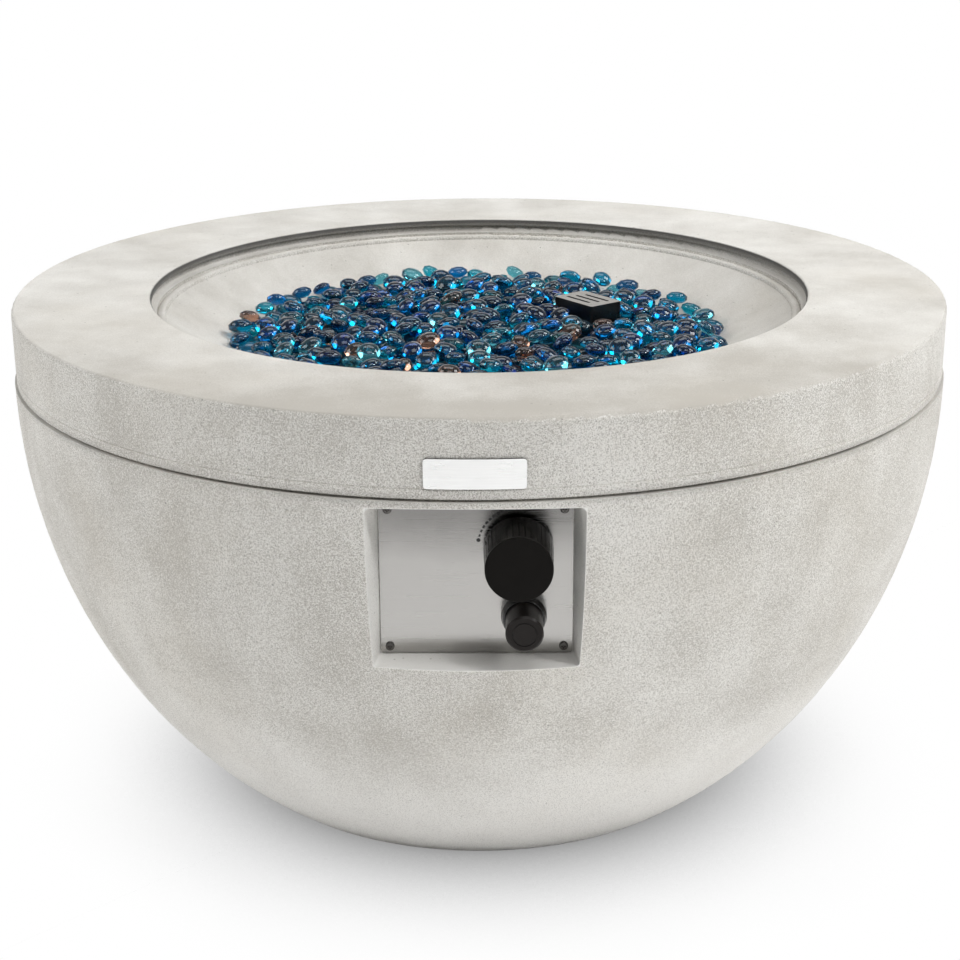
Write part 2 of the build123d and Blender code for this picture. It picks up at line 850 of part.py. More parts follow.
with BuildPart() as control_plate:
    with BuildSketch(plate_plane):
        with Locations((0, pocket_middle)):
            RectangleRounded(
                2 * (pocket_half_width - plate_gap), pocket_back_height - 2 * plate_gap, plate_corner
            )
            with GridLocations(2 * screw_x, 2 * screw_z, 2, 2):
                Circle(screw_shank_radius + fit_gap, mode=Mode.SUBTRACT)
        with Locations((knob_x, knob_level)):
            Circle(neck_radius + fit_gap, mode=Mode.SUBTRACT)
        with Locations((igniter_x, igniter_level)):
            Circle(hole_margin, mode=Mode.SUBTRACT)
    extrude(amount=plate_sheet)
finish(control_plate, "control_plate")

with BuildPart() as plate_screws:
    with BuildSketch(front_plane):
        with Locations((0, pocket_middle)):
            with GridLocations(2 * screw_x, 2 * screw_z, 2, 2):
                Circle(screw_head_radius)
    extrude(amount=screw_head_height)
    fillet(plate_screws.edges().group_by(Axis.Y)[0], screw_head_round)
    with BuildSketch(front_plane):
        with Locations((0, pocket_middle)):
            with GridLocations(2 * screw_x, 2 * screw_z, 2, 2):
                Circle(screw_shank_radius)
    extrude(amount=-screw_length)
    with BuildSketch(front_plane.offset(screw_head_height)):
        with Locations((0, pocket_middle)):
            with GridLocations(2 * screw_x, 2 * screw_z, 2, 2):
                Rectangle(screw_slot_length, screw_slot_width)
                Rectangle(screw_slot_width, screw_slot_length)
    extrude(amount=-screw_slot_depth, mode=Mode.SUBTRACT)
finish(plate_screws, "plate_screws")

# Blank nameplate, curved with the band it is fixed to
with BuildPart() as nameplate:
    with BuildSketch(Plane.XZ.offset(band_radius - nameplate_width / 4)):
        with Locations((0, table_height - nameplate_drop)):
            RectangleRounded(nameplate_width, nameplate_height, nameplate_corner)
    extrude(amount=nameplate_width / 2)
    with BuildSketch(Plane.XY.offset(table_height - nameplate_drop - nameplate_height)):
        Circle(band_radius + nameplate_sheet)
        Circle(band_radius, mode=Mode.SUBTRACT)
    extrude(amount=2 * nameplate_height, mode=Mode.INTERSECT)
finish(nameplate, "nameplate")

# Gas valve: body with neck, chamber for the stem's spring, and the plug's bore
neck_front = plate_front_y - neck_length
chamber_front = neck_front + neck_wall
plug_front = chamber_front + chamber_length
plug_back = plug_front + plug_length
valve_back = pocket_back_y + valve_length
outlet_end = valve_back + outlet_boss_length
knob_back_y = plate_front_y - knob_gap
knob_front_y = knob_back_y - knob_length
hub_back_y = min(neck_front, plate_front_y - valve_nut_height) - knob_travel - knob_hub_clearance
stem_tip = knob_front_y + stem_cover
port_y = plug_back - (plug_length - plug_slot_depth) / 2
magnet_y = pocket_back_y + magnet_setback
chamber_radius = stem_collar_radius + chamber_gap
gas_passage = supply_radius + slide_gap
inlet_plane = Plane(
    origin=(knob_x - valve_width / 2, port_y, knob_level), x_dir=(0, -1, 0), z_dir=(-1, 0, 0)
)


def level_plane(front_y):
    """Upright plane that faces the front, its origin on the knob's axis."""
    return Plane(origin=(knob_x, front_y, knob_level), x_dir=(1, 0, 0), z_dir=(0, -1, 0))


with BuildPart() as valve_body:
    with BuildSketch(level_plane(pocket_back_y)):
        RectangleRounded(valve_width, valve_width, valve_corner)
    extrude(amount=-valve_length)
    chamfer(valve_body.edges().group_by(Axis.Y)[-1], valve_edge)
    with BuildSketch(level_plane(pocket_back_y)):
        Circle(neck_radius)
    extrude(amount=pocket_back_y - neck_front)
    with BuildSketch(level_plane(valve_back)):
        Circle(outlet_boss_radius)
    extrude(amount=-outlet_boss_length)
    with BuildSketch(level_plane(neck_front)):
        Circle(stem_radius + slide_gap)
    extrude(amount=neck_front - chamber_front, mode=Mode.SUBTRACT)
    with BuildSketch(level_plane(chamber_front)):
        Circle(chamber_radius)
    extrude(amount=-chamber_length, mode=Mode.SUBTRACT)
    with BuildSketch(level_plane(plug_front)):
        Circle(plug_radius + slide_gap)
    extrude(amount=-plug_length - fit_gap, mode=Mode.SUBTRACT)
    with BuildSketch(level_plane(plug_back)):
        Circle(gas_passage)
    extrude(amount=plug_back - valve_back - outlet_boss_length, mode=Mode.SUBTRACT)
    with BuildSketch(inlet_plane):
        Circle(inlet_shank + thread_gap)
    extrude(amount=-inlet_shank_length, mode=Mode.SUBTRACT)
    with BuildSketch(inlet_plane):
        Circle(plug_port)
    extrude(amount=-valve_wall - plug_radius / 2, mode=Mode.SUBTRACT)
finish(valve_body, "valve_body")

with BuildPart() as valve_plug:
    with BuildSketch(level_plane(plug_front + slide_gap)):
        Circle(plug_radius)
    extrude(amount=slide_gap - plug_length)
    with BuildSketch(level_plane(plug_front)):
        Rectangle(stem_key + 2 * slide_gap, stem_key + 2 * slide_gap)
    extrude(amount=-plug_slot_depth, mode=Mode.SUBTRACT)
    with BuildSketch(level_plane(plug_back)):
        Circle(plug_port)
    extrude(amount=plug_length - plug_slot_depth - plug_web, mode=Mode.SUBTRACT)
    with BuildSketch(Plane(origin=(knob_x, port_y, knob_level), x_dir=(1, 0, 0), z_dir=(0, 0, 1))):
        Circle(plug_port)
    extrude(amount=2 * plug_radius, mode=Mode.SUBTRACT)
finish(valve_plug, "valve_plug")

with BuildPart() as valve_stem:
    with BuildSketch(level_plane(stem_tip)):
        Circle(stem_radius)
    extrude(amount=stem_tip - chamber_front)
    with BuildSketch(level_plane(chamber_front + slide_gap)):
        Circle(stem_collar_radius)
    extrude(amount=-stem_collar_length)
    with BuildSketch(level_plane(chamber_front)):
        Rectangle(stem_key, stem_key)
    extrude(amount=-chamber_length - key_engagement)
    with BuildSketch(level_plane(stem_tip)):
        with Locations((0, stem_flat)):
            Rectangle(2 * stem_radius, 2 * stem_radius, align=(Align.CENTER, Align.MIN))
    extrude(amount=stem_tip - hub_back_y, mode=Mode.SUBTRACT)
finish(valve_stem, "valve_stem")


def coil(wire, radius, turns, length, origin, towards):
    """A spring of round wire, wound about an axis and kept between two planes."""
    with BuildPart() as spring:
        with BuildLine() as winding:
            rise = length - 2 * wire
            Helix(pitch=rise / turns, height=rise, radius=radius, center=origin, direction=towards)
        with BuildSketch(Plane(origin=winding.line @ 0, z_dir=winding.line % 0)):
            Circle(wire)
        sweep(is_frenet=True)
    return spring


collar_back = chamber_front + slide_gap + stem_collar_length
stem_spring = coil(
    stem_spring_wire,
    stem_collar_radius - stem_spring_wire - slide_gap,
    stem_spring_turns,
    plug_front - collar_back - 2 * slide_gap,
    (knob_x, collar_back + slide_gap + stem_spring_wire, knob_level),
    (0, 1, 0),
)
finish(stem_spring, "stem_spring")

valve_nut = nut(valve_nut_flats, valve_nut_height, neck_radius + thread_gap, level_plane(plate_front_y))
finish(valve_nut, "valve_nut")

magnet_plane = Plane(
    origin=(knob_x + valve_width / 2, magnet_y, knob_level), x_dir=(0, 1, 0), z_dir=(1, 0, 0)
)

with BuildPart() as safety_magnet:
    with BuildSketch(magnet_plane):
        Circle(magnet_radius)
    extrude(amount=magnet_length)
    chamfer(safety_magnet.edges().group_by(Axis.X)[-1], magnet_edge)
    with BuildSketch(magnet_plane.offset(magnet_length)):
        RegularPolygon(magnet_cap_flats / 2, 6, major_radius=False)
    extrude(amount=magnet_cap_length)
finish(safety_magnet, "safety_magnet")

inlet_reach = inlet_hex_height + inlet_thread_length + inlet_nose_length

with BuildPart() as inlet_fitting:
    with BuildSketch(inlet_plane):
        RegularPolygon(inlet_flats / 2, 6, major_radius=False)
    extrude(amount=inlet_hex_height)
    with BuildSketch(inlet_plane):
        Circle(inlet_shank)
    extrude(amount=-inlet_shank_length)
    with BuildSketch(inlet_plane.offset(inlet_hex_height)):
        Circle(inlet_thread_radius)
    extrude(amount=inlet_thread_length)
    with BuildSketch(inlet_plane.offset(inlet_hex_height + inlet_thread_length)):
        Circle(inlet_nose_radius)
    extrude(amount=inlet_nose_length, taper=inlet_nose_taper)
    with BuildSketch(inlet_plane.offset(inlet_reach)):
        Circle(inlet_bore)
    extrude(amount=-inlet_reach - inlet_shank_length, mode=Mode.SUBTRACT)
finish(inlet_fitting, "inlet_fitting")

# Knob, hollow behind, with its hub on the stem
knob_draft = degrees(atan2(knob_radius - knob_face_radius, knob_length))
flat_level = stem_flat + slide_gap
flat_angle = degrees(asin(flat_level / (stem_radius + slide_gap)))

with BuildPart() as control_knob:
    with BuildSketch(level_plane(knob_back_y)):
        Circle(knob_radius)
    extrude(amount=knob_length, taper=knob_draft)
    fillet(control_knob.edges().group_by(Axis.Y)[0], knob_edge)
    with BuildSketch(level_plane(knob_back_y)):
        Circle(knob_radius - knob_skin)
    extrude(amount=knob_length - knob_face_thickness, mode=Mode.SUBTRACT)
    with BuildSketch(level_plane(hub_back_y)):
        Circle(knob_hub_radius)
    extrude(amount=hub_back_y - knob_front_y - knob_face_thickness / 2)
    with BuildSketch(level_plane(hub_back_y)):
        with BuildLine():
            bore_arc = CenterArc((0, 0), stem_radius + slide_gap, 180 - flat_angle, 180 + 2 * flat_angle)
            Line(bore_arc @ 1, bore_arc @ 0)
        make_face()
    extrude(amount=hub_back_y - stem_tip, mode=Mode.SUBTRACT)
    for index in range(knob_rib_count):
        turn = radians(360 / knob_rib_count * index)
        outward = Vector(cos(turn), 0, sin(turn))
        around = Vector(sin(turn), 0, -cos(turn))
        along = (Vector(0, -knob_length, 0) - outward * (knob_radius - knob_face_radius)).normalized()
        foot = Vector(knob_x, knob_back_y, knob_level) + outward * knob_radius + along * knob_rib_start
        with BuildSketch(Plane(origin=foot, x_dir=around, z_dir=along)):
            Circle(knob_rib_radius)
        extrude(amount=knob_length - 2 * knob_rib_start, mode=Mode.SUBTRACT)
finish(control_knob, "control_knob")

# Igniter: barrel through the plate, domed collar, sprung button, cell and terminals
barrel_neck_front = plate_front_y - barrel_neck_length
button_back_y = barrel_neck_front - button_travel - button_gap
button_front_y = button_back_y - button_length
plunger_back_y = button_back_y + plunger_length
cell_front_y = plunger_back_y + spring_room
cell_seat_y = cell_front_y + cell_length
barrel_back_y = cell_seat_y + barrel_end
collar_radius = button_radius + fit_gap + collar_wall


def igniter_plane(front_y):
    """Upright plane that faces the front, its origin on the igniter's axis."""
    return Plane(origin=(igniter_x, front_y, igniter_level), x_dir=(1, 0, 0), z_dir=(0, -1, 0))


with BuildPart() as igniter_body:
    with BuildSketch(igniter_plane(pocket_back_y)):
        Circle(barrel_flange_radius)
    extrude(amount=-barrel_flange)
    with BuildSketch(igniter_plane(pocket_back_y)):
        Circle(barrel_radius)
    extrude(amount=pocket_back_y - barrel_back_y)
    with BuildSketch(igniter_plane(pocket_back_y)):
        Circle(barrel_neck_radius)
    extrude(amount=pocket_back_y - barrel_neck_front)
    with BuildSketch(igniter_plane(barrel_neck_front)):
        Circle(plunger_radius + slide_gap)
    extrude(amount=barrel_neck_front - plunger_back_y - button_travel - fit_gap, mode=Mode.SUBTRACT)
    with BuildSketch(igniter_plane(barrel_neck_front)):
        Circle(cell_radius + fit_gap)
    extrude(amount=barrel_neck_front - cell_seat_y, mode=Mode.SUBTRACT)
finish(igniter_body, "igniter_body")

with BuildPart() as igniter_collar:
    with BuildSketch(igniter_plane(plate_front_y)):
        Circle(collar_radius)
    extrude(amount=collar_length - collar_dome)
    with BuildSketch(igniter_plane(plate_front_y - collar_length + collar_dome)):
        Circle(collar_radius)
    extrude(amount=collar_dome, taper=collar_dome_taper)
    fillet(igniter_collar.edges().group_by(Axis.Y)[0], collar_edge)
    with BuildSketch(igniter_plane(plate_front_y)):
        Circle(barrel_neck_radius + thread_gap)
    extrude(amount=collar_length, mode=Mode.SUBTRACT)
    with BuildSketch(igniter_plane(barrel_neck_front)):
        Circle(button_radius + fit_gap)
    extrude(amount=collar_length, mode=Mode.SUBTRACT)
finish(igniter_collar, "igniter_collar")

with BuildPart() as igniter_button:
    with BuildSketch(igniter_plane(button_back_y)):
        Circle(button_radius)
    extrude(amount=button_length)
    chamfer(igniter_button.edges().group_by(Axis.Y)[0], button_edge)
    with BuildSketch(igniter_plane(button_front_y)):
        Circle(button_ring_radius)
        Circle(button_ring_radius - button_ring_width, mode=Mode.SUBTRACT)
    extrude(amount=-button_ring_depth, mode=Mode.SUBTRACT)
    with BuildSketch(igniter_plane(button_back_y)):
        Circle(plunger_radius)
    extrude(amount=-plunger_length)
finish(igniter_button, "igniter_button")

with BuildPart() as igniter_battery:
    with BuildSketch(igniter_plane(cell_front_y)):
        Circle(cell_radius)
    extrude(amount=cell_tip_height - cell_length)
    with BuildSketch(igniter_plane(cell_seat_y)):
        Circle(cell_tip_radius)
    extrude(amount=cell_tip_height)
finish(igniter_battery, "igniter_battery")

igniter_spring = coil(
    button_spring_wire,
    button_spring_radius,
    button_spring_turns,
    spring_room - 2 * slide_gap,
    (igniter_x, plunger_back_y + slide_gap + button_spring_wire, igniter_level),
    (0, 1, 0),
)
finish(igniter_spring, "igniter_spring")

with BuildPart() as igniter_terminals:
    with BuildSketch(igniter_plane(barrel_back_y)):
        with Locations((0, terminal_spread), (0, -terminal_spread)):
            Rectangle(terminal_width, terminal_sheet)
    extrude(amount=-terminal_length)
finish(igniter_terminals, "igniter_terminals")


# Tubes and leads, each along its own route
def hung_route(start, leave, end, arrive, bends):
    """Points of a route that runs straight at both ends and bends to one side between them."""
    first = Vector(*start) + Vector(*leave)
    last = Vector(*end) + Vector(*arrive)
    points = [Vector(*start), first]
    for share, right, down in bends:
        points.append(first + (last - first) * share + Vector(right, 0, -down))
    return points + [last, Vector(*end)]


def bend_radii(points):
    """The largest bend at each inner point that leaves both runs a straight middle."""
    radii = []
    for before, here, after in zip(points, points[1:], points[2:]):
        half_turn = radians((here - before).get_angle(after - here)) / 2
        radii.append(straight_share * min((here - before).length, (after - here).length) / tan(half_turn))
    return radii


def tube(radius, points, bore=0):
    """A round tube or lead along straight runs joined by tangent bends."""
    with BuildPart() as hose:
        with BuildLine() as route:
            FilletPolyline(*points, radius=bend_radii(points))
        with BuildSketch(Plane(origin=route.line @ 0, z_dir=route.line % 0)):
            Circle(radius)
            if bore:
                Circle(bore, mode=Mode.SUBTRACT)
        sweep()
    length = sum(edge.length for edge in route.edges())
    section = pi * (radius**2 - bore**2)
    print("bends", [round(bend, 1) for bend in bend_radii(points)], "length", round(length, 1))
    print("volume over section times length", round(hose.part.volume / section / length, 4))
    return hose


probe_foot = guard_plane.from_local_coords((probe_spread, 0, tail_end))
rod_foot = guard_plane.from_local_coords((-probe_spread, 0, rod_end))
magnet_tip = knob_x + valve_width / 2 + magnet_length + magnet_cap_length
socket_y = outlet_end - outlet_socket
terminal_y = barrel_back_y + terminal_length
terminal_level = igniter_level - terminal_spread

injector_seat = (0, 0, injector_foot + injector_socket)

supply_route = hung_route(
    (knob_x, socket_y, knob_level), supply_start, injector_seat, supply_end, supply_bends
)
supply_tube = tube(supply_radius, supply_route, supply_bore)
finish(supply_tube, "supply_tube")

lead_route = hung_route((magnet_tip, magnet_y, knob_level), lead_start, probe_foot, lead_end, lead_bends)
thermocouple_lead = tube(lead_radius, lead_route)
finish(thermocouple_lead, "thermocouple_lead")

wire_route = hung_route((igniter_x, terminal_y, terminal_level), wire_start, rod_foot, wire_end, wire_bends)
ignition_wire = tube(wire_radius, wire_route)
finish(ignition_wire, "ignition_wire")

# Rubber grommet in the hose outlet
lip_front = wall + grommet_lip_gap

with BuildPart() as hose_grommet:
    with BuildSketch(outlet_plane.offset(-outlet_seat)):
        Circle(grommet_flange_radius)
    extrude(amount=grommet_flange)
    fillet(hose_grommet.edges().group_by(SortBy.LENGTH)[-1], grommet_flange_round)
    with BuildSketch(outlet_plane.offset(-outlet_seat)):
        Circle(outlet_hole_radius - fit_gap)
    extrude(amount=outlet_seat - lip_front)
    with BuildSketch(outlet_plane.offset(-lip_front)):
        Circle(outlet_hole_radius + grommet_lip)
    extrude(amount=-grommet_lip_height)
    with BuildSketch(outlet_plane.offset(grommet_flange)):
        Circle(grommet_bore)
    extrude(amount=-2 * wall - grommet_flange, mode=Mode.SUBTRACT)
finish(hose_grommet, "hose_grommet")

# Rubber feet in the base
with BuildPart() as rubber_feet:
    with BuildSketch(Plane.XY):
        with foot_places:
            Circle(foot_radius)
    extrude(amount=foot_height)
    chamfer(rubber_feet.edges().group_by(Axis.Z)[0], foot_edge)
finish(rubber_feet, "rubber_feet")
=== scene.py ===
import json
import random
from math import cos, pi, radians, sin, sqrt

import bpy
from mathutils import Matrix, Vector


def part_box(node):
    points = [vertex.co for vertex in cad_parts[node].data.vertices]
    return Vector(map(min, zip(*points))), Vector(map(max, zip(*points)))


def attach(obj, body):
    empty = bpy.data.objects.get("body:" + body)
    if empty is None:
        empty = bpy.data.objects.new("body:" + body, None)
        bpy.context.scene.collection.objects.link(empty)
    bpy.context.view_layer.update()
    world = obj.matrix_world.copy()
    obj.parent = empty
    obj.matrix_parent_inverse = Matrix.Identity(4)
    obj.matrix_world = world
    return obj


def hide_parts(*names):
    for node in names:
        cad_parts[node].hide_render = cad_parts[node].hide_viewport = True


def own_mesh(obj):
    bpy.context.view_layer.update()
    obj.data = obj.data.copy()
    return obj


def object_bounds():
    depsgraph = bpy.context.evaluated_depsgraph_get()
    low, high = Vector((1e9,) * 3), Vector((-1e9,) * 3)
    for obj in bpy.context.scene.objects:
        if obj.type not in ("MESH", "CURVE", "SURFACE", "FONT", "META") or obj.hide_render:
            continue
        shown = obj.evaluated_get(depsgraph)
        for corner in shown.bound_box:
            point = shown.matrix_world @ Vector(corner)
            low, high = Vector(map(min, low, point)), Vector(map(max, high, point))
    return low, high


# A round gas fire table dressed over its solids. Metres, +Z up, the front towards -Y.
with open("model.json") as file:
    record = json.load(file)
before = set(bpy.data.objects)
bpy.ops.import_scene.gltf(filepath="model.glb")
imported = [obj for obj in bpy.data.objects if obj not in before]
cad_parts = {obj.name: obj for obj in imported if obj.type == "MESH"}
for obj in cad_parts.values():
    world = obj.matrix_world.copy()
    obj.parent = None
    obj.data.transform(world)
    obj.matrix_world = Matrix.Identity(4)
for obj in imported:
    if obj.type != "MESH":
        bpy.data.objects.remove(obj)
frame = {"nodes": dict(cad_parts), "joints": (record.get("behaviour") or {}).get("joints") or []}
cad_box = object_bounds()
nodes = frame["nodes"]
table_height = cad_box[1].z

# Camera, as the photograph was taken
focal_length = 72.34
sensor_width = 36.0
camera_reach = 1.465
camera_rise = 0.344
camera_pitch = radians(19.03)
camera_turn = radians(0.5)
camera_roll = radians(-0.35)

# Cast bowl and dish, as in the solids
band_height = 0.052
groove_width = 0.002
dish_floor_radius = 0.172
dish_floor_drop = 0.052
dish_slope = 36.0 / 68.6
pocket_side_slope = 0.169
pocket_top_slope = 0.213
pocket_floor_slope = 0.038
pocket_edge = 0.0018
mouth_radius = 0.2513
mouth_edge = 0.008
mouth_wall = 0.013

# Cast concrete: its colours, its painted light and shade, and its noises from broad to fine
stone_dark = (0.47, 0.445, 0.40)
stone_light = (0.80, 0.785, 0.745)
stone_stain = (0.60, 0.555, 0.475)
pore_dark = (0.25, 0.24, 0.22)
# Painted shade in the groove.
groove_painted_shade = (0.24, 0.23, 0.215)
# Painted light towards the foot.
foot_painted_light = (0.92, 0.905, 0.875)
# Painted light in the pocket round the plate.
pocket_painted_light = (0.95, 0.94, 0.915)
# Painted shadow under the mouth's lip.
lip_shade_black = (0.03, 0.028, 0.026)
cloud_scale = 4.5
stain_scale = 7.0
blotch_scale = 19.0
streak_stretch = (16.0, 16.0, 5.0)
pore_scale = 170.0
grain_scale = 980.0
sand_scale = 1600.0
# Painted light on up-facing faces of the bowl.
top_painted_light = 0.15
# Reach of the painted shade either side of the groove.
groove_shade_reach = 0.0055
stone_bump = 0.0010

# Metal and plastic
brush_lines = 900.0
brush_length = 12.0
fine_bump = 0.0002
plastic_grain = 1100.0
# Painted shade on the sides of the guard box and the bare plate.
side_shade_black = (0.05, 0.05, 0.05)
knob_black = (0.005, 0.0045, 0.004)
knob_grey = (0.010, 0.009, 0.008)
knob_face_depth = 0.0012
knob_shine = 0.06
# Painted shade on the plate above this drop below the knob's centre.
plate_shade_drop = 0.012

# Guard box, as it stands in the bed
guard_turn = radians(-52.3)
guard_half_length = 0.023
guard_half_width = 0.0155

# Bed of glass beads, heaped over a core of painted shade
bead_radius = 0.0096
bead_half_thickness = 0.0053
bead_size_spread = 0.18
bead_tilt = radians(30)
bead_segments = 12
bead_rings = 5
bead_margin = 0.002
bead_tries = 16
bead_limit = 4200
bead_packing = 0.92
bead_drop_seed = 11
bead_turn_seed = 5
bead_size_seed = 8
bead_tint_seed = 21
bed_depth = 0.015
bed_crown_drop = 0.002
bed_edge_fall = 0.004
bed_steps = 96
bed_rings = 24

# Printed dial round the knob
dial_radius = 0.0259
dial_start = 90
dial_end = 163
dial_dot_turn = 170
dial_ticks = 11
tick_length = 0.0022
tick_width = 0.0013
tick_thickness = 0.00006
tick_lengthening = (1.5, 0.75)
tick_thickening = (1.9, 0.9)
dial_dot_radius = 0.0013
dial_dot_sides = 24

# Bare plate on the band
badge_corner = 0.0022
badge_columns = 48
badge_sheet = 0.0013

# Springs behind the knob and the button: the joint that presses each, its wire and its turns
springs = {
    "stem_spring": ("knob_push", 0.00045, 4),
    "igniter_spring": ("igniter_push", 0.0004, 5),
}
spring_steps = 24
spring_wire_sides = 10

# Floor and lights
floor_reach = 60.0
shade_reach = 1.2
shade_samples = 16
shade_steps = ((0.10, 0.30), (0.235, 0.50), (0.39, 0.77), (0.52, 0.96), (0.62, 1.0))
floor_white = (0.85, 0.85, 0.85, 1.0)
sky_strength = 0.10
mirrored_zenith = 0.25
mirrored_fall = 2.2
softboxes = {
    "key": ((1.7, -1.4, 1.8), (0.5, 0.5), 19.0),
    "left": ((-2.3, -0.2, 1.7), (1.6, 1.6), 32.0),
    "front": ((0.3, -1.3, 2.6), (1.6, 1.2), 17.0),
    "right": ((1.9, 0.3, 2.2), (1.2, 1.2), 34.0),
    "back": ((0.0, 1.2, 2.4), (1.8, 1.0), 12.0),
    "over_floor": ((0.0, 0.0, 3.0), (3.0, 3.0), 60.0),
}


class Wire:
    """A shader socket that takes part in sums: each operator adds its Math node."""

    def __init__(self, finish, socket):
        self.finish = finish
        self.socket = socket

    def __add__(self, other):
        return self.finish.maths("ADD", self, other)

    def __radd__(self, other):
        return self.finish.maths("ADD", other, self)

    def __sub__(self, other):
        return self.finish.maths("SUBTRACT", self, other)

    def __rsub__(self, other):
        return self.finish.maths("SUBTRACT", other, self)

    def __mul__(self, other):
        return self.finish.maths("MULTIPLY", self, other)

    def __rmul__(self, other):
        return self.finish.maths("MULTIPLY", other, self)

    def __truediv__(self, other):
        return self.finish.maths("DIVIDE", self, other)

    def __rtruediv__(self, other):
        return self.finish.maths("DIVIDE", other, self)

    def __abs__(self):
        return self.finish.maths("ABSOLUTE", self)

    def clamped(self):
        return self.finish.maths("ADD", self, 0.0, clamp=True)


class Finish:
    """The node tree of one material, or of the world, under construction."""

    def __init__(self, name, world=None):
        self.material = world or bpy.data.materials.new(name)
        self.material.use_nodes = True
        self.tree = self.material.node_tree
        self.tree.nodes.clear()

    def node(self, kind, settings=None, inputs=None, output=0):
        """Add a node, set it up, fill or link its sockets, and return one output."""
        made = self.tree.nodes.new(kind)
        for name, value in (settings or {}).items():
            if name == "stops":
                ramp = made.color_ramp
                while len(ramp.elements) < len(value):
                    ramp.elements.new(1.0)
                for element, (position, colour) in zip(ramp.elements, value):
                    element.position = position
                    element.color = (*colour, 1.0)
            elif name == "spread":
                made.color_ramp.interpolation = value
            else:
                setattr(made, name, value)
        for name, value in (inputs or {}).items():
            if isinstance(value, Wire):
                self.tree.links.new(value.socket, made.inputs[name])
            else:
                made.inputs[name].default_value = value
        return Wire(self, made.outputs[output])

    def maths(self, operation, first, second=0.0, clamp=False):
        settings = {"operation": operation, "use_clamp": clamp}
        return self.node("ShaderNodeMath", settings, {0: first, 1: second})

    def place(self):
        """Object coordinates."""
        return self.node("ShaderNodeTexCoord", output="Object")

    def stretched(self, scale):
        """Object coordinates scaled by axis."""
        return self.node("ShaderNodeMapping", {}, {"Vector": self.place(), "Scale": scale})

    def axis(self, name):
        """One of the object coordinates."""
        return self.node("ShaderNodeSeparateXYZ", {}, {"Vector": self.place()}, name)

    def noise(self, scale, detail=3.0, roughness=0.55, place=None):
        inputs = {
            "Vector": place or self.place(),
            "Scale": scale,
            "Detail": detail,
            "Roughness": roughness,
        }
        return self.node("ShaderNodeTexNoise", {}, inputs, "Fac")

    def mix(self, factor, low, high, blend="MIX"):
        """Mix two colours."""
        low = low if isinstance(low, Wire) else (*low, 1.0)
        high = high if isinstance(high, Wire) else (*high, 1.0)
        settings = {"data_type": "RGBA", "blend_type": blend, "clamp_factor": True}
        return self.node("ShaderNodeMix", settings, {0: factor, 6: low, 7: high}, 2)

    def ramp(self, factor, stops, spread="LINEAR"):
        return self.node("ShaderNodeValToRGB", {"stops": stops, "spread": spread}, {"Fac": factor})

    def bump(self, height, strength, distance):
        inputs = {"Height": height, "Strength": strength, "Distance": distance}
        return self.node("ShaderNodeBump", {}, inputs)

    def surface(self, colour, roughness, metallic=0.0, normal=None, **more):
        """End the material in a principled surface."""
        inputs = {
            "Base Color": colour if isinstance(colour, Wire) else (*colour, 1.0),
            "Roughness": roughness,
            "Metallic": metallic,
        }
        if normal is not None:
            inputs["Normal"] = normal
        for name, value in more.items():
            inputs[name.replace("_", " ").title().replace("Ior", "IOR")] = value
        shader = self.node("ShaderNodeBsdfPrincipled", {}, inputs, "BSDF")
        self.node_output(shader)
        return self.material

    def node_output(self, shader, kind="ShaderNodeOutputMaterial"):
        made = self.tree.nodes.new(kind)
        self.tree.links.new(shader.socket, made.inputs["Surface"])


def in_pocket(finish, plate_box):
    """A mask of the pocket's walls, which spread from the plate's edge towards the front."""
    low, high = plate_box
    ahead = low.y - finish.axis("Y")
    sides = ahead * pocket_side_slope + high.x - abs(finish.axis("X"))
    above = ahead * pocket_top_slope + high.z - finish.axis("Z")
    below = ahead * pocket_floor_slope - low.z + finish.axis("Z")
    walls = [((room + pocket_edge) / pocket_edge).clamped() for room in (sides, above, below)]
    return walls[0] * walls[1] * walls[2]


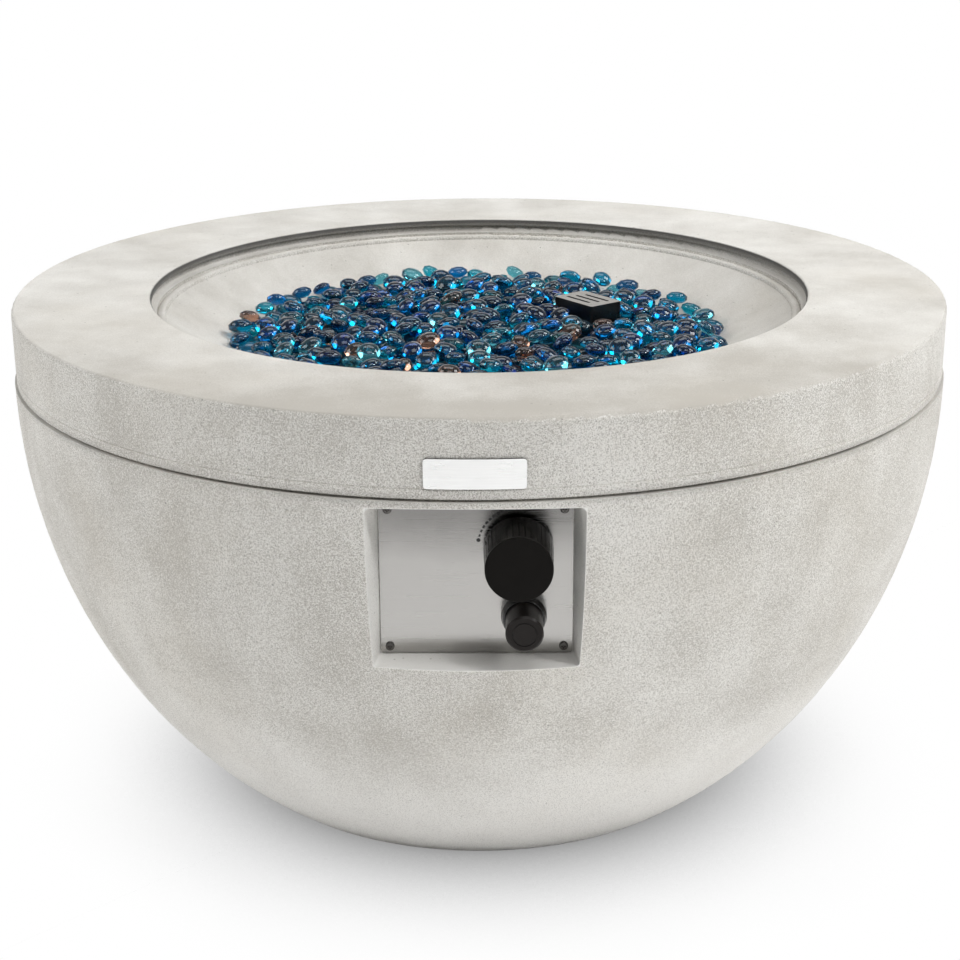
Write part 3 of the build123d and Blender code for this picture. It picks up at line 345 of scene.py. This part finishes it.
def cast_concrete(name, groove_level=None, plate_box=None, mouth_radius=None):
    """Pale cast fibre concrete: clouds, blotches, coarse speckle, pores and a smoother top, with
    painted light on up-facing faces, towards the foot and in the pocket, and painted shade at the rim's
    front, in the groove and under the mouth's lip.
    """
    finish = Finish(name)
    clouds = finish.noise(cloud_scale, 4.0, 0.6)
    blotches = finish.noise(blotch_scale, 5.0, 0.62)
    streaks = finish.noise(1.0, 4.0, 0.6, finish.stretched(streak_stretch))
    grain = finish.noise(grain_scale, 1.0, 0.6)
    sand = finish.noise(sand_scale, 1.0, 0.5)
    upward = finish.node("ShaderNodeNewGeometry", output="Normal")
    upward = finish.node("ShaderNodeSeparateXYZ", {}, {"Vector": upward}, "Z")
    smooth = ((upward - 0.60) * 4.0).clamped()
    # The pocket's walls and sill: smoother, and given painted light below.
    pocket = in_pocket(finish, plate_box) if plate_box else 0.0
    smooth = smooth + pocket * 0.8 * (1.0 - smooth)
    # Painted shade: the top faces darker towards the front of the rim.
    front = ((-0.12 - finish.axis("Y")) * 4.0).clamped()
    front = front * ((finish.axis("Z") - 0.36) * 50.0).clamped()
    # Painted light: paler towards the foot, standing in for light thrown up from the floor.
    foot = (1.0 - finish.axis("Z") * 6.5).clamped()
    tone = 0.5 + (clouds - 0.5) * 1.1 + (blotches - 0.5) * 1.0 + (streaks - 0.5) * 0.7
    # Painted light: up-facing faces of the bowl paler.
    top_light_lift = 0.0 if groove_level is None else top_painted_light
    tone = tone + foot * 0.8 + pocket * 0.6 + smooth * top_light_lift - front * smooth * 0.75
    speckle = ((grain - 0.5) * 2.7 + (sand - 0.5) * 2.2) * (1.0 - smooth * 0.75)
    colour = finish.mix((tone + speckle).clamped(), stone_dark, stone_light)
    stain = ((finish.noise(stain_scale, 3.0, 0.6) - 0.5) * 3.0).clamped()
    colour = finish.mix(stain * 0.35, colour, stone_stain)
    # Painted light towards the foot.
    colour = finish.mix(foot * 0.85, colour, foot_painted_light)
    # Painted light: the pocket's walls and sill nearly white.
    if plate_box:
        colour = finish.mix(pocket * 0.85, colour, pocket_painted_light)
    cell = {"Vector": finish.place(), "Scale": pore_scale}
    pore = finish.node("ShaderNodeTexVoronoi", {}, cell, "Distance")
    chance = finish.node("ShaderNodeTexVoronoi", {}, cell, "Color")
    picked = finish.node("ShaderNodeSeparateColor", {}, {"Color": chance}, "Red")
    pit = ((0.16 - pore) * 9.0).clamped() * ((picked - 0.82) * 12.0).clamped()
    colour = finish.mix(pit * 0.55, colour, pore_dark)
    pepper = ((0.42 - sand) * 9.0).clamped() * (1.0 - smooth * 0.9)
    colour = finish.mix(pepper * 0.6, colour, pore_dark)
    # Painted shade in and beside the groove, patchy along it.
    if groove_level is not None:
        away = abs(finish.axis("Z") - groove_level)
        groove_shade = (1.0 - away / groove_shade_reach).clamped() * ((blotches - 0.36) * 3.4).clamped()
        colour = finish.mix(groove_shade * 0.55, colour, groove_painted_shade)
    # Painted shadow on the wall under the mouth's lip, darkest at its top.
    if mouth_radius is not None:
        level_place = finish.stretched((1.0, 1.0, 0.0))
        radius = finish.node("ShaderNodeVectorMath", {"operation": "LENGTH"}, {0: level_place}, "Value")
        inside = ((mouth_radius + mouth_edge - radius) / (mouth_edge / 2)).clamped()
        depth = ((table_height - finish.axis("Z")) / mouth_wall).clamped()
        lip_shade = inside * ((0.90 - upward) * 3.0).clamped() * (1.0 - depth)
        colour = finish.mix(lip_shade * 1.05, colour, lip_shade_black)
    height = (grain * 0.5 + sand * 0.25) * (1.0 - smooth * 0.6) + blotches * 0.9 - pit * 1.6
    normal = finish.bump(height, 0.5, stone_bump)
    return finish.surface(colour, 0.78 + (grain - 0.5) * 0.2, 0.0, normal)


def bead_glass():
    """Tinted glass pebbles: a colour for each bead, with a faint swirl in it, and painted light that
    leaves each bead darker above and paler below.
    """
    finish = Finish("bead_glass")
    tint = finish.node("ShaderNodeAttribute", {"attribute_name": "bead_tint"}, output="Fac")
    level = finish.node("ShaderNodeAttribute", {"attribute_name": "bead_level"}, output="Fac")
    swirl = finish.noise(120.0, 2.0, 0.6)
    through = finish.ramp(
        tint,
        (
            (0.00, (0.003, 0.280, 0.500)),
            (0.30, (0.003, 0.160, 0.460)),
            (0.48, (0.010, 0.460, 0.640)),
            (0.66, (0.003, 0.100, 0.270)),
            (0.82, (0.120, 0.540, 0.660)),
            # A few beads tinted copper: painted reflection of flames.
            (0.95, (0.500, 0.270, 0.180)),
        ),
        "CONSTANT",
    )
    # Painted light: each bead darker above and paler below, as light gathered through the glass.
    depth = ((level - 0.15) * 0.8 + (swirl - 0.5) * 0.9).clamped()
    colour = finish.mix(depth * 0.45, through, (0.002, 0.030, 0.060))
    more = {"coat_weight": 0.25, "coat_roughness": 0.02}
    return finish.surface(colour, 0.02, 0.0, transmission_weight=0.97, ior=1.45, **more)


def bed_shade():
    """The glass under the top beads, given as a near-black surface: painted shade."""
    finish = Finish("bed_shade")
    mottle = finish.noise(140.0, 3.0)
    colour = finish.mix(mottle, (0.002, 0.010, 0.016), (0.006, 0.035, 0.05))
    return finish.surface(colour, 0.35)


def brushed(name, colour, along, roughness=0.30, depth=0.25, painted_side_shade=None, painted_shade_above=None):
    """Brushed or drawn metal, its lines along one axis, with painted shade on its sides or towards its
    top where asked.
    """
    finish = Finish(name)
    scale = [brush_lines, brush_lines, brush_lines]
    scale["XYZ".index(along)] = brush_length
    lines = finish.noise(1.0, 2.0, 0.6, finish.stretched(scale))
    cloud = finish.noise(30.0, 3.0)
    shade = (lines - 0.5) * 0.5 + (cloud - 0.5) * 0.3 + 0.5
    dark = tuple(0.86 * part for part in colour)
    light = tuple(min(1.0, 1.1 * part) for part in colour)
    tone = finish.mix(shade.clamped(), dark, light)
    # Painted shade: faces not turned along the given axis go dark.
    if painted_side_shade is not None:
        facing = finish.node("ShaderNodeNewGeometry", output="Normal")
        facing = finish.node("ShaderNodeSeparateXYZ", {}, {"Vector": facing}, painted_side_shade)
        tone = finish.mix((1.6 - abs(facing) * 2.0).clamped(), tone, side_shade_black)
    # Painted shade and reflection: darker towards the top.
    if painted_shade_above is not None:
        top_shade = ((finish.axis("Z") - painted_shade_above) * 28.0 + (cloud - 0.5) * 0.6).clamped()
        tone = finish.mix(top_shade * 0.8, tone, tuple(0.45 * part for part in colour))
    normal = finish.bump(lines, depth, fine_bump)
    return finish.surface(tone, roughness + (lines - 0.5) * 0.2 + (cloud - 0.5) * 0.1, 1.0, normal)


def machined(name, colour, roughness=0.30):
    """Turned or cast metal with faint stains."""
    finish = Finish(name)
    cloud = finish.noise(45.0, 4.0)
    fine = finish.noise(700.0, 2.0)
    dark = tuple(0.78 * part for part in colour)
    tone = finish.mix(cloud, dark, colour)
    normal = finish.bump(fine, 0.15, fine_bump)
    return finish.surface(tone, roughness + (cloud - 0.5) * 0.25, 1.0, normal)


def moulded(name, colour, roughness, grain=0.25, coat=0.0, shine=0.5):
    """Moulded plastic, rubber or glaze with a fine grain."""
    finish = Finish(name)
    fine = finish.noise(plastic_grain, 2.0)
    cloud = finish.noise(60.0, 3.0)
    light = tuple(min(1.0, 1.5 * part + 0.004) for part in colour)
    tone = finish.mix(cloud, colour, light)
    normal = finish.bump(fine, grain, fine_bump)
    rough = roughness + (cloud - 0.5) * 0.12
    more = {"coat_weight": coat, "coat_roughness": 0.08, "specular_ior_level": shine}
    return finish.surface(tone, rough, 0.0, normal, **more)


def knob_plastic(face_level):
    """Black plastic: a matt face and a glossy side."""
    finish = Finish("knob_plastic")
    fine = finish.noise(plastic_grain, 2.0)
    cloud = finish.noise(60.0, 3.0)
    face = ((face_level + knob_face_depth - finish.axis("Y")) * 2500.0).clamped()
    tone = finish.mix(cloud, knob_black, knob_grey)
    normal = finish.bump(fine, 0.2, fine_bump)
    rough = 0.16 + face * 0.32 + (cloud - 0.5) * 0.06
    return finish.surface(tone, rough, 0.0, normal, specular_ior_level=knob_shine)


# Finishes of the solids
knob_low, knob_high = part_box("control_knob")
knob_centre = (knob_low + knob_high) / 2
groove_level = table_height - band_height - groove_width / 2
# Painted shade on the plate above this level.
plate_shade_level = knob_centre.z - plate_shade_drop
bowl_finish = cast_concrete("bowl_concrete", groove_level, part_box("control_plate"), mouth_radius)
dish_finish = cast_concrete("dish_concrete")
steel = machined("satin_steel", (0.60, 0.59, 0.57), 0.34)
brass = machined("brass", (0.70, 0.50, 0.20), 0.28)
finishes = {
    "bowl_shell": bowl_finish,
    "fire_dish": dish_finish,
    # The guard box's sides and the bare plate's edges get painted shade.
    "guard_box": brushed("guard_steel", (0.72, 0.69, 0.64), "X", 0.30, painted_side_shade="Z"),
    "control_plate": brushed(
        "plate_steel", (0.42, 0.41, 0.395), "X", 0.24, 0.025, painted_shade_above=plate_shade_level
    ),
    "plate_screws": machined("dark_screw", (0.11, 0.105, 0.10), 0.24),
    "nameplate": brushed("bright_plate", (0.90, 0.90, 0.89), "X", 0.30, 0.08, painted_side_shade="Y"),
    "control_knob": knob_plastic(knob_low.y),
    "igniter_collar": moulded("collar_gloss", (0.006, 0.0055, 0.005), 0.12, 0.03, 0.0, 0.5),
    "igniter_button": moulded("button_gloss", (0.010, 0.008, 0.007), 0.30, 0.08, 0.0, 0.14),
    "burner_pan": brushed("pan_steel", (0.60, 0.59, 0.57), "Y", 0.33),
    "burner_ring": steel,
    "burner_nut": brass,
    "air_mixer": brass,
    "gas_injector": brass,
    "supply_tube": machined("drawn_alloy", (0.76, 0.76, 0.75), 0.25),
    "valve_body": machined("die_cast", (0.60, 0.60, 0.61), 0.42),
    "valve_plug": brass,
    "valve_stem": steel,
    "stem_spring": steel,
    "valve_nut": steel,
    "safety_magnet": brass,
    "inlet_fitting": brass,
    "thermocouple": steel,
    "thermocouple_lead": machined("copper", (0.72, 0.36, 0.22), 0.28),
    "electrode_ceramic": moulded("white_ceramic", (0.62, 0.60, 0.56), 0.30, 0.1),
    "electrode_rod": steel,
    "pilot_bracket": steel,
    "igniter_body": moulded("barrel_plastic", (0.02, 0.02, 0.02), 0.35),
    "igniter_spring": steel,
    "igniter_battery": moulded("cell_sleeve", (0.05, 0.06, 0.07), 0.25, 0.05),
    "igniter_terminals": brass,
    "ignition_wire": moulded("wire_sleeve", (0.30, 0.03, 0.02), 0.45),
    "hose_grommet": moulded("grommet_rubber", (0.014, 0.014, 0.014), 0.62, 0.4),
    "rubber_feet": moulded("foot_rubber", (0.014, 0.014, 0.014), 0.66, 0.4),
}
for name, material in finishes.items():
    for material_slot in nodes[name].material_slots:
        material_slot.material = material


def mesh_piece(name, points, faces, material=None, smooth=True):
    """A new object made of points and faces."""
    mesh = bpy.data.meshes.new(name)
    mesh.from_pydata(points, [], faces)
    mesh.validate()
    if smooth:
        mesh.shade_smooth()
    piece = bpy.data.objects.new(name, mesh)
    bpy.context.scene.collection.objects.link(piece)
    if material:
        mesh.materials.append(material)
    return piece


def lathe(name, profile, steps, material):
    """Turn a profile of (radius, level) about the bowl's axis, from its top down to its foot."""
    points = [(0.0, 0.0, profile[0][1])]
    for radius, level in profile[1:-1]:
        for step in range(steps):
            turn = 2 * pi * step / steps
            points.append((radius * cos(turn), radius * sin(turn), level))
    points.append((0.0, 0.0, profile[-1][1]))
    last = len(points) - 1
    faces = []
    for step in range(steps):
        beside = (step + 1) % steps
        faces.append((0, 1 + step, 1 + beside))
        for ring in range(len(profile) - 3):
            here = 1 + ring * steps
            below = here + steps
            faces.append((here + step, below + step, below + beside, here + beside))
        end = last - steps
        faces.append((last, end + beside, end + step))
    return mesh_piece(name, points, faces, material)


class Tree:
    """A Geometry Nodes tree under construction, with named inputs."""

    def __init__(self, name, inputs):
        self.group = bpy.data.node_groups.new(name, "GeometryNodeTree")
        face = self.group.interface
        face.new_socket("Geometry", in_out="INPUT", socket_type="NodeSocketGeometry")
        self.defaults = {}
        for label, (kind, value) in inputs.items():
            socket = face.new_socket(label, in_out="INPUT", socket_type=kind)
            self.defaults[socket.identifier] = value
        face.new_socket("Geometry", in_out="OUTPUT", socket_type="NodeSocketGeometry")
        self.start = self.group.nodes.new("NodeGroupInput")
        self.end = self.group.nodes.new("NodeGroupOutput")

    def given(self, label):
        return self.start.outputs[label]

    def node(self, kind, settings=None, inputs=None):
        """Add a node and fill or link its sockets."""
        made = self.group.nodes.new(kind)
        for name, value in (settings or {}).items():
            setattr(made, name, value)
        for name, value in (inputs or {}).items():
            if isinstance(value, bpy.types.NodeSocket):
                self.group.links.new(value, made.inputs[name])
            else:
                made.inputs[name].default_value = value
        return made

    def sum(self, operation, *terms):
        """Add a Math node and return its result."""
        return self.node("ShaderNodeMath", {"operation": operation}, dict(enumerate(terms))).outputs[0]

    def along(self, share, low, high):
        """Map a share from 0 to 1 onto a range."""
        inputs = {"Value": share, "To Min": low, "To Max": high}
        return self.node("ShaderNodeMapRange", {}, inputs).outputs[0]

    def vector(self, x=0.0, y=0.0, z=0.0):
        return self.node("ShaderNodeCombineXYZ", {}, {"X": x, "Y": y, "Z": z}).outputs[0]

    def close(self, geometry, material):
        """Realize what the tree made, give it its material and end the tree."""
        real = self.node("GeometryNodeRealizeInstances", {}, {"Geometry": geometry})
        inputs = {"Geometry": real.outputs[0], "Material": material}
        painted = self.node("GeometryNodeSetMaterial", {}, inputs)
        self.group.links.new(painted.outputs[0], self.end.inputs[0])

    def grow(self, name, source):
        """Run the tree on an object and return its result as a plain piece."""
        modifier = source.modifiers.new(name, "NODES")
        modifier.node_group = self.group
        for identifier, value in self.defaults.items():
            modifier[identifier] = value
        bpy.context.view_layer.update()
        depsgraph = bpy.context.evaluated_depsgraph_get()
        mesh = bpy.data.meshes.new_from_object(source.evaluated_get(depsgraph))
        mesh.name = name
        piece = bpy.data.objects.new(name, mesh)
        bpy.context.scene.collection.objects.link(piece)
        bpy.data.objects.remove(source)
        return piece


# Bed of beads
glass_low, glass_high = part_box("fire_glass")
guard_low, guard_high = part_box("guard_box")
bed_radius = glass_high.x
bed_top = glass_high.z
guard_centre = (guard_low + guard_high) / 2


def bed_level(radius):
    """Level of the heap's top at a radius: a low crown that falls a little to its edge."""
    return bed_top - bed_crown_drop - bed_edge_fall * (radius / bed_radius) ** 2


def floor_level(radius):
    """Level that the top beads rest on: the dark core or, near the edge, the dish's slope."""
    core = bed_level(radius) - bed_depth
    dish = table_height - dish_floor_drop + dish_slope * (radius - dish_floor_radius)
    return max(core, dish)


def in_guard(x, y, margin):
    """Whether a place lies in the guard box or within a margin of it."""
    across = (x - guard_centre.x) * cos(guard_turn) + (y - guard_centre.y) * sin(guard_turn)
    along = (y - guard_centre.y) * cos(guard_turn) - (x - guard_centre.x) * sin(guard_turn)
    return abs(across) < guard_half_length + margin and abs(along) < guard_half_width + margin


def drop_beads():
    """Places of beads dropped one by one, each where it comes to rest lowest of a few tries."""
    draw = random.Random(bead_drop_seed)
    placed = []
    cells = {}
    reach = 2 * bead_radius * bead_packing

    def rest_level(x, y):
        level = floor_level(sqrt(x * x + y * y)) + bead_half_thickness
        column = int(x // reach)
        row = int(y // reach)
        for near_column in (column - 1, column, column + 1):
            for near_row in (row - 1, row, row + 1):
                for other in cells.get((near_column, near_row), ()):
                    away = ((other[0] - x) ** 2 + (other[1] - y) ** 2) / reach**2
                    if away < 1:
                        level = max(level, other[2] + 2 * bead_half_thickness * sqrt(1 - away))
        return level

    for _ in range(bead_limit):
        best = None
        for _ in range(bead_tries):
            radius = (bed_radius - bead_margin) * sqrt(draw.random())
            turn = 2 * pi * draw.random()
            x = radius * cos(turn)
            y = radius * sin(turn)
            if in_guard(x, y, bead_half_thickness):
                continue
            level = rest_level(x, y)
            over = level - bed_level(radius)
            if best is None or over < best[3]:
                best = (x, y, level, over)
        if best and best[3] < bead_half_thickness / 2:
            placed.append(best[:3])
            cells.setdefault((int(best[0] // reach), int(best[1] // reach)), []).append(best)
    return placed


def bead_tree(material):
    """Beads on points: squashed spheres, turned, tilted, sized and tinted at random."""
    tree = Tree(
        "bead_tree",
        {
            "Radius": ("NodeSocketFloat", bead_radius),
            "Half Thickness": ("NodeSocketFloat", bead_half_thickness),
            "Tilt": ("NodeSocketFloat", bead_tilt),
            "Spread": ("NodeSocketFloat", bead_size_spread),
            "Seed": ("NodeSocketInt", bead_turn_seed),
        },
    )
    sphere = {"Segments": bead_segments, "Rings": bead_rings, "Radius": 1.0}
    ball = tree.node("GeometryNodeMeshUVSphere", {}, sphere)
    smooth = tree.node("GeometryNodeSetShadeSmooth", {}, {"Geometry": ball.outputs["Mesh"]})
    place = tree.node("GeometryNodeInputPosition")
    parts = tree.node("ShaderNodeSeparateXYZ", {}, {"Vector": place.outputs[0]})
    # Each point's height in the bead, for the painted light in the glass.
    level = tree.sum("MULTIPLY_ADD", parts.outputs["Z"], 0.5, 0.5)
    marked = tree.node(
        "GeometryNodeStoreNamedAttribute",
        {"data_type": "FLOAT", "domain": "POINT"},
        {"Geometry": smooth.outputs[0], "Name": "bead_level", "Value": level},
    )
    size = tree.vector(tree.given("Radius"), tree.given("Radius"), tree.given("Half Thickness"))
    shaped = tree.node("GeometryNodeTransform", {}, {"Geometry": marked.outputs[0], "Scale": size})
    back = tree.sum("MULTIPLY", tree.given("Tilt"), -1.0)
    lowest = tree.vector(back, back)
    highest = tree.vector(tree.given("Tilt"), tree.given("Tilt"), 2 * pi)
    turned = tree.node(
        "FunctionNodeRandomValue",
        {"data_type": "FLOAT_VECTOR"},
        {0: lowest, 1: highest, "Seed": tree.given("Seed")},
    )
    smallest = tree.sum("SUBTRACT", 1.0, tree.given("Spread"))
    sized = tree.node(
        "FunctionNodeRandomValue",
        {"data_type": "FLOAT"},
        {2: smallest, 3: 1.0 + bead_size_spread / 2, "Seed": bead_size_seed},
    )
    spread = tree.node(
        "GeometryNodeInstanceOnPoints",
        {},
        {
            "Points": tree.given("Geometry"),
            "Instance": shaped.outputs[0],
            "Rotation": turned.outputs[0],
            "Scale": sized.outputs[1],
        },
    )
    tint = tree.node("FunctionNodeRandomValue", {"data_type": "FLOAT"}, {"Seed": bead_tint_seed})
    tinted = tree.node(
        "GeometryNodeStoreNamedAttribute",
        {"data_type": "FLOAT", "domain": "INSTANCE"},
        {"Geometry": spread.outputs[0], "Name": "bead_tint", "Value": tint.outputs[1]},
    )
    tree.close(tinted.outputs[0], material)
    return tree


places = drop_beads()
seeds = mesh_piece("bead_places", places, [])
beads = bead_tree(bead_glass()).grow("glass_beads", seeds)
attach(beads, "table")
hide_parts("fire_glass")

# A near-black core under the top beads: painted shade for the glass beneath them.
core_radius = dish_floor_radius - bead_margin
core_profile = []
for ring in range(bed_rings + 1):
    radius = core_radius * ring / bed_rings
    core_profile.append((radius, floor_level(radius)))
core_profile.append((0.0, floor_level(core_radius) - bead_half_thickness))
bed_core = lathe("bed_core", core_profile, bed_steps, bed_shade())
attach(bed_core, "table")

# Printed dial marks on the plate, longer towards high
plate_low, plate_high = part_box("control_plate")


def dial_tree(material):
    """Dashes along an arc of points, longer and thicker towards high, and a dot at low."""
    tree = Tree(
        "dial_tree",
        {
            "Length": ("NodeSocketFloat", tick_length),
            "Width": ("NodeSocketFloat", tick_width),
            "Thickness": ("NodeSocketFloat", tick_thickness),
            "Ticks": ("NodeSocketInt", dial_ticks),
            "Dot": ("NodeSocketVector", dot_place),
            "Dot Radius": ("NodeSocketFloat", dial_dot_radius),
        },
    )
    size = tree.vector(tree.given("Length"), tree.given("Thickness"), tree.given("Width"))
    tick = tree.node("GeometryNodeMeshCube", {}, {"Size": size})
    index = tree.node("GeometryNodeInputIndex")
    share = tree.sum("DIVIDE", index.outputs[0], tree.sum("SUBTRACT", tree.given("Ticks"), 1.0))
    turn = tree.along(share, radians(dial_start - 90), radians(dial_end - 90))
    rotation = tree.vector(0.0, tree.sum("MULTIPLY", turn, -1.0))
    longer = tree.along(share, *tick_lengthening)
    thicker = tree.along(share, *tick_thickening)
    scale = tree.vector(longer, 1.0, thicker)
    spread = tree.node(
        "GeometryNodeInstanceOnPoints",
        {},
        {
            "Points": tree.given("Geometry"),
            "Instance": tick.outputs["Mesh"],
            "Rotation": rotation,
            "Scale": scale,
        },
    )
    round_dot = {
        "Vertices": dial_dot_sides,
        "Radius": tree.given("Dot Radius"),
        "Depth": tree.given("Thickness"),
    }
    disc = tree.node("GeometryNodeMeshCylinder", {}, round_dot)
    dot = tree.node(
        "GeometryNodeTransform",
        {},
        {
            "Geometry": disc.outputs["Mesh"],
            "Translation": tree.given("Dot"),
            "Rotation": (radians(90), 0.0, 0.0),
        },
    )
    both = tree.node("GeometryNodeJoinGeometry")
    tree.group.links.new(spread.outputs[0], both.inputs[0])
    tree.group.links.new(dot.outputs[0], both.inputs[0])
    tree.close(both.outputs[0], material)
    return tree


def dial_place(turn):
    """A place on the dial's arc, in degrees from the right."""
    x = knob_centre.x + dial_radius * cos(radians(turn))
    z = knob_centre.z + dial_radius * sin(radians(turn))
    return (x, plate_low.y - tick_thickness / 2, z)


dot_place = dial_place(dial_dot_turn)
dial_step = (dial_end - dial_start) / (dial_ticks - 1)
tick_places = [dial_place(dial_start + dial_step * tick) for tick in range(dial_ticks)]
print_black = moulded("print_black", (0.02, 0.02, 0.02), 0.5)
dial = dial_tree(print_black).grow("dial_marks", mesh_piece("tick_places", tick_places, []))
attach(dial, "table")

# Bare plate with round corners, bent to the band
badge_low, badge_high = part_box("nameplate")


def bare_plate():
    """Columns from side to side, shorter at the corners, between the plate's front and back."""
    half_width = (badge_high.x - badge_low.x) / 2
    half_height = (badge_high.z - badge_low.z) / 2
    middle = (badge_low + badge_high) / 2
    front_radius = -badge_low.y
    points = []
    for column in range(badge_columns + 1):
        share = -cos(pi * column / badge_columns)
        across = half_width * share
        past = max(0.0, abs(across) - (half_width - badge_corner))
        reach = half_height - badge_corner + sqrt(max(0.0, badge_corner**2 - past**2))
        for radius in (front_radius, front_radius - badge_sheet):
            turned = sqrt(radius**2 - across**2)
            points.append((middle.x + across, -turned, middle.z - reach))
            points.append((middle.x + across, -turned, middle.z + reach))
    faces = []
    for column in range(badge_columns):
        front_low, front_high, back_low, back_high = range(4 * column, 4 * column + 4)
        faces.append((front_low, front_low + 4, front_high + 4, front_high))
        faces.append((back_low, back_high, back_high + 4, back_low + 4))
        faces.append((front_high, front_high + 4, back_high + 4, back_high))
        faces.append((front_low, back_low, back_low + 4, front_low + 4))
    last = 4 * badge_columns
    faces += [(0, 1, 3, 2), (last, last + 2, last + 3, last + 1)]
    return points, faces


badge_points, badge_faces = bare_plate()
badge = mesh_piece("bare_plate", badge_points, badge_faces, finishes["nameplate"], smooth=False)
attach(badge, "table")
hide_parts("nameplate")


# Springs wound from round wire, in place of the solid springs
def spring_tree(name, wire, turns, low, high, material):
    """A coil of round wire wound along the depth of a box."""
    length = high.y - low.y - 2 * wire
    middle = (low + high) / 2
    tree = Tree(
        name,
        {
            "Wire": ("NodeSocketFloat", wire),
            "Turns": ("NodeSocketFloat", float(turns)),
            "Radius": ("NodeSocketFloat", (high.x - low.x) / 2 - wire),
            "Length": ("NodeSocketFloat", length),
            "Start": ("NodeSocketVector", (middle.x, low.y + wire, middle.z)),
        },
    )
    winding = tree.node(
        "GeometryNodeCurveSpiral",
        {},
        {
            "Resolution": spring_steps,
            "Rotations": tree.given("Turns"),
            "Start Radius": tree.given("Radius"),
            "End Radius": tree.given("Radius"),
            "Height": tree.given("Length"),
        },
    )
    round_wire = {"Resolution": spring_wire_sides, "Radius": tree.given("Wire")}
    section = tree.node("GeometryNodeCurvePrimitiveCircle", {}, round_wire)
    coiled = tree.node(
        "GeometryNodeCurveToMesh",
        {},
        {"Curve": winding.outputs[0], "Profile Curve": section.outputs[0], "Fill Caps": True},
    )
    smooth = tree.node("GeometryNodeSetShadeSmooth", {}, {"Geometry": coiled.outputs[0]})
    laid = tree.node(
        "GeometryNodeTransform",
        {},
        {
            "Geometry": smooth.outputs[0],
            "Translation": tree.given("Start"),
            "Rotation": (radians(-90), 0.0, 0.0),
        },
    )
    tree.close(laid.outputs[0], material)
    return tree


for node, (joint, wire, turns) in springs.items():
    low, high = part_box(node)
    travel = next(row["range_m"][1] for row in frame["joints"] if row["name"] == joint)
    seed = mesh_piece(node + "_seed", [], [])
    spring = spring_tree(node + "_tree", wire, turns, low, high, steel).grow(node + "_wound", seed)
    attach(spring, "table")
    pressed = 1 - travel / (high.y - low.y)
    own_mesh(spring)
    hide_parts(node)


# Stage
def white_floor():
    """A white floor. The camera sees it white, with the bowl's soft shade painted on it from ambient
    occlusion.
    """
    finish = Finish("white_floor")
    seen = finish.node("ShaderNodeLightPath", output="Is Camera Ray")
    white = finish.node("ShaderNodeBsdfDiffuse", {}, {"Color": floor_white})
    open_sky = finish.node(
        "ShaderNodeAmbientOcclusion", {"samples": shade_samples}, {"Distance": shade_reach}, "AO"
    )
    shade = finish.ramp(open_sky, [(opening, (tone, tone, tone)) for opening, tone in shade_steps])
    shaded = finish.node("ShaderNodeEmission", {}, {"Color": shade, "Strength": 1.0})
    shader = finish.node("ShaderNodeMixShader", {}, {0: seen, 1: white, 2: shaded})
    finish.node_output(shader)
    return finish.material


floor_points = [
    (-floor_reach, -floor_reach, 0.0),
    (floor_reach, -floor_reach, 0.0),
    (floor_reach, floor_reach, 0.0),
    (-floor_reach, floor_reach, 0.0),
]
floor = mesh_piece("floor", floor_points, [(0, 1, 2, 3)], white_floor(), smooth=False)


def light_world():
    """White to the camera, to metal and to glass, dimmer overhead; softer as a light."""
    world = bpy.data.worlds.new("studio")
    bpy.context.scene.world = world
    finish = Finish("studio", world)
    seen = finish.node("ShaderNodeLightPath", output="Is Camera Ray")
    shiny = finish.node("ShaderNodeLightPath", output="Is Glossy Ray")
    clear = finish.node("ShaderNodeLightPath", output="Is Transmission Ray")
    direction = finish.node("ShaderNodeTexCoord", output="Generated")
    rise = finish.node("ShaderNodeSeparateXYZ", {}, {"Vector": direction}, "Z").clamped()
    mirrored = 1.0 - (rise * mirrored_fall).clamped() * (1.0 - mirrored_zenith)
    shown = (shiny + clear).clamped()
    strength = sky_strength * (1.0 - shown) + mirrored * shown
    strength = strength * (1.0 - seen) + seen
    plain_sky = {"Color": (1.0, 1.0, 1.0, 1.0), "Strength": strength}
    sky = finish.node("ShaderNodeBackground", {}, plain_sky)
    finish.node_output(sky, "ShaderNodeOutputWorld")


def softbox(name, place, size, power):
    """An area lamp that faces the bowl."""
    lamp = bpy.data.lights.new(name, "AREA")
    lamp.shape = "RECTANGLE"
    lamp.size, lamp.size_y = size
    lamp.energy = power
    box = bpy.data.objects.new(name, lamp)
    bpy.context.scene.collection.objects.link(box)
    target = Vector((0.0, 0.0, table_height / 2))
    towards = target - Vector(place)
    facing = towards.to_track_quat("-Z", "Y").to_matrix().to_4x4()
    box.matrix_world = Matrix.Translation(place) @ facing
    return box


light_world()
for name, (place, size, power) in softboxes.items():
    box = softbox(name, place, size, power)
    if name == "over_floor":
        floor_alone = bpy.data.collections.new("floor_alone")
        floor_alone.objects.link(floor)
        box.light_linking.receiver_collection = floor_alone
        box.light_linking.blocker_collection = floor_alone

# Camera
ahead_level = Vector((-sin(camera_turn), cos(camera_turn), 0.0))
level_right = Vector((cos(camera_turn), sin(camera_turn), 0.0))
ahead = ahead_level * cos(camera_pitch) - Vector((0.0, 0.0, sin(camera_pitch)))
upward = level_right.cross(ahead)
right = level_right * cos(camera_roll) + upward * sin(camera_roll)
up = upward * cos(camera_roll) - level_right * sin(camera_roll)
place = -ahead_level * camera_reach + Vector((0.0, 0.0, table_height + camera_rise))
lens = bpy.data.cameras.new("camera")
lens.lens = focal_length
lens.sensor_width = sensor_width
camera = bpy.data.objects.new("camera", lens)
bpy.context.scene.collection.objects.link(camera)
camera.matrix_world = Matrix.Translation(place) @ Matrix((right, up, -ahead)).transposed().to_4x4()
bpy.context.scene.camera = camera
bpy.context.scene.view_settings.view_transform = "Standard"
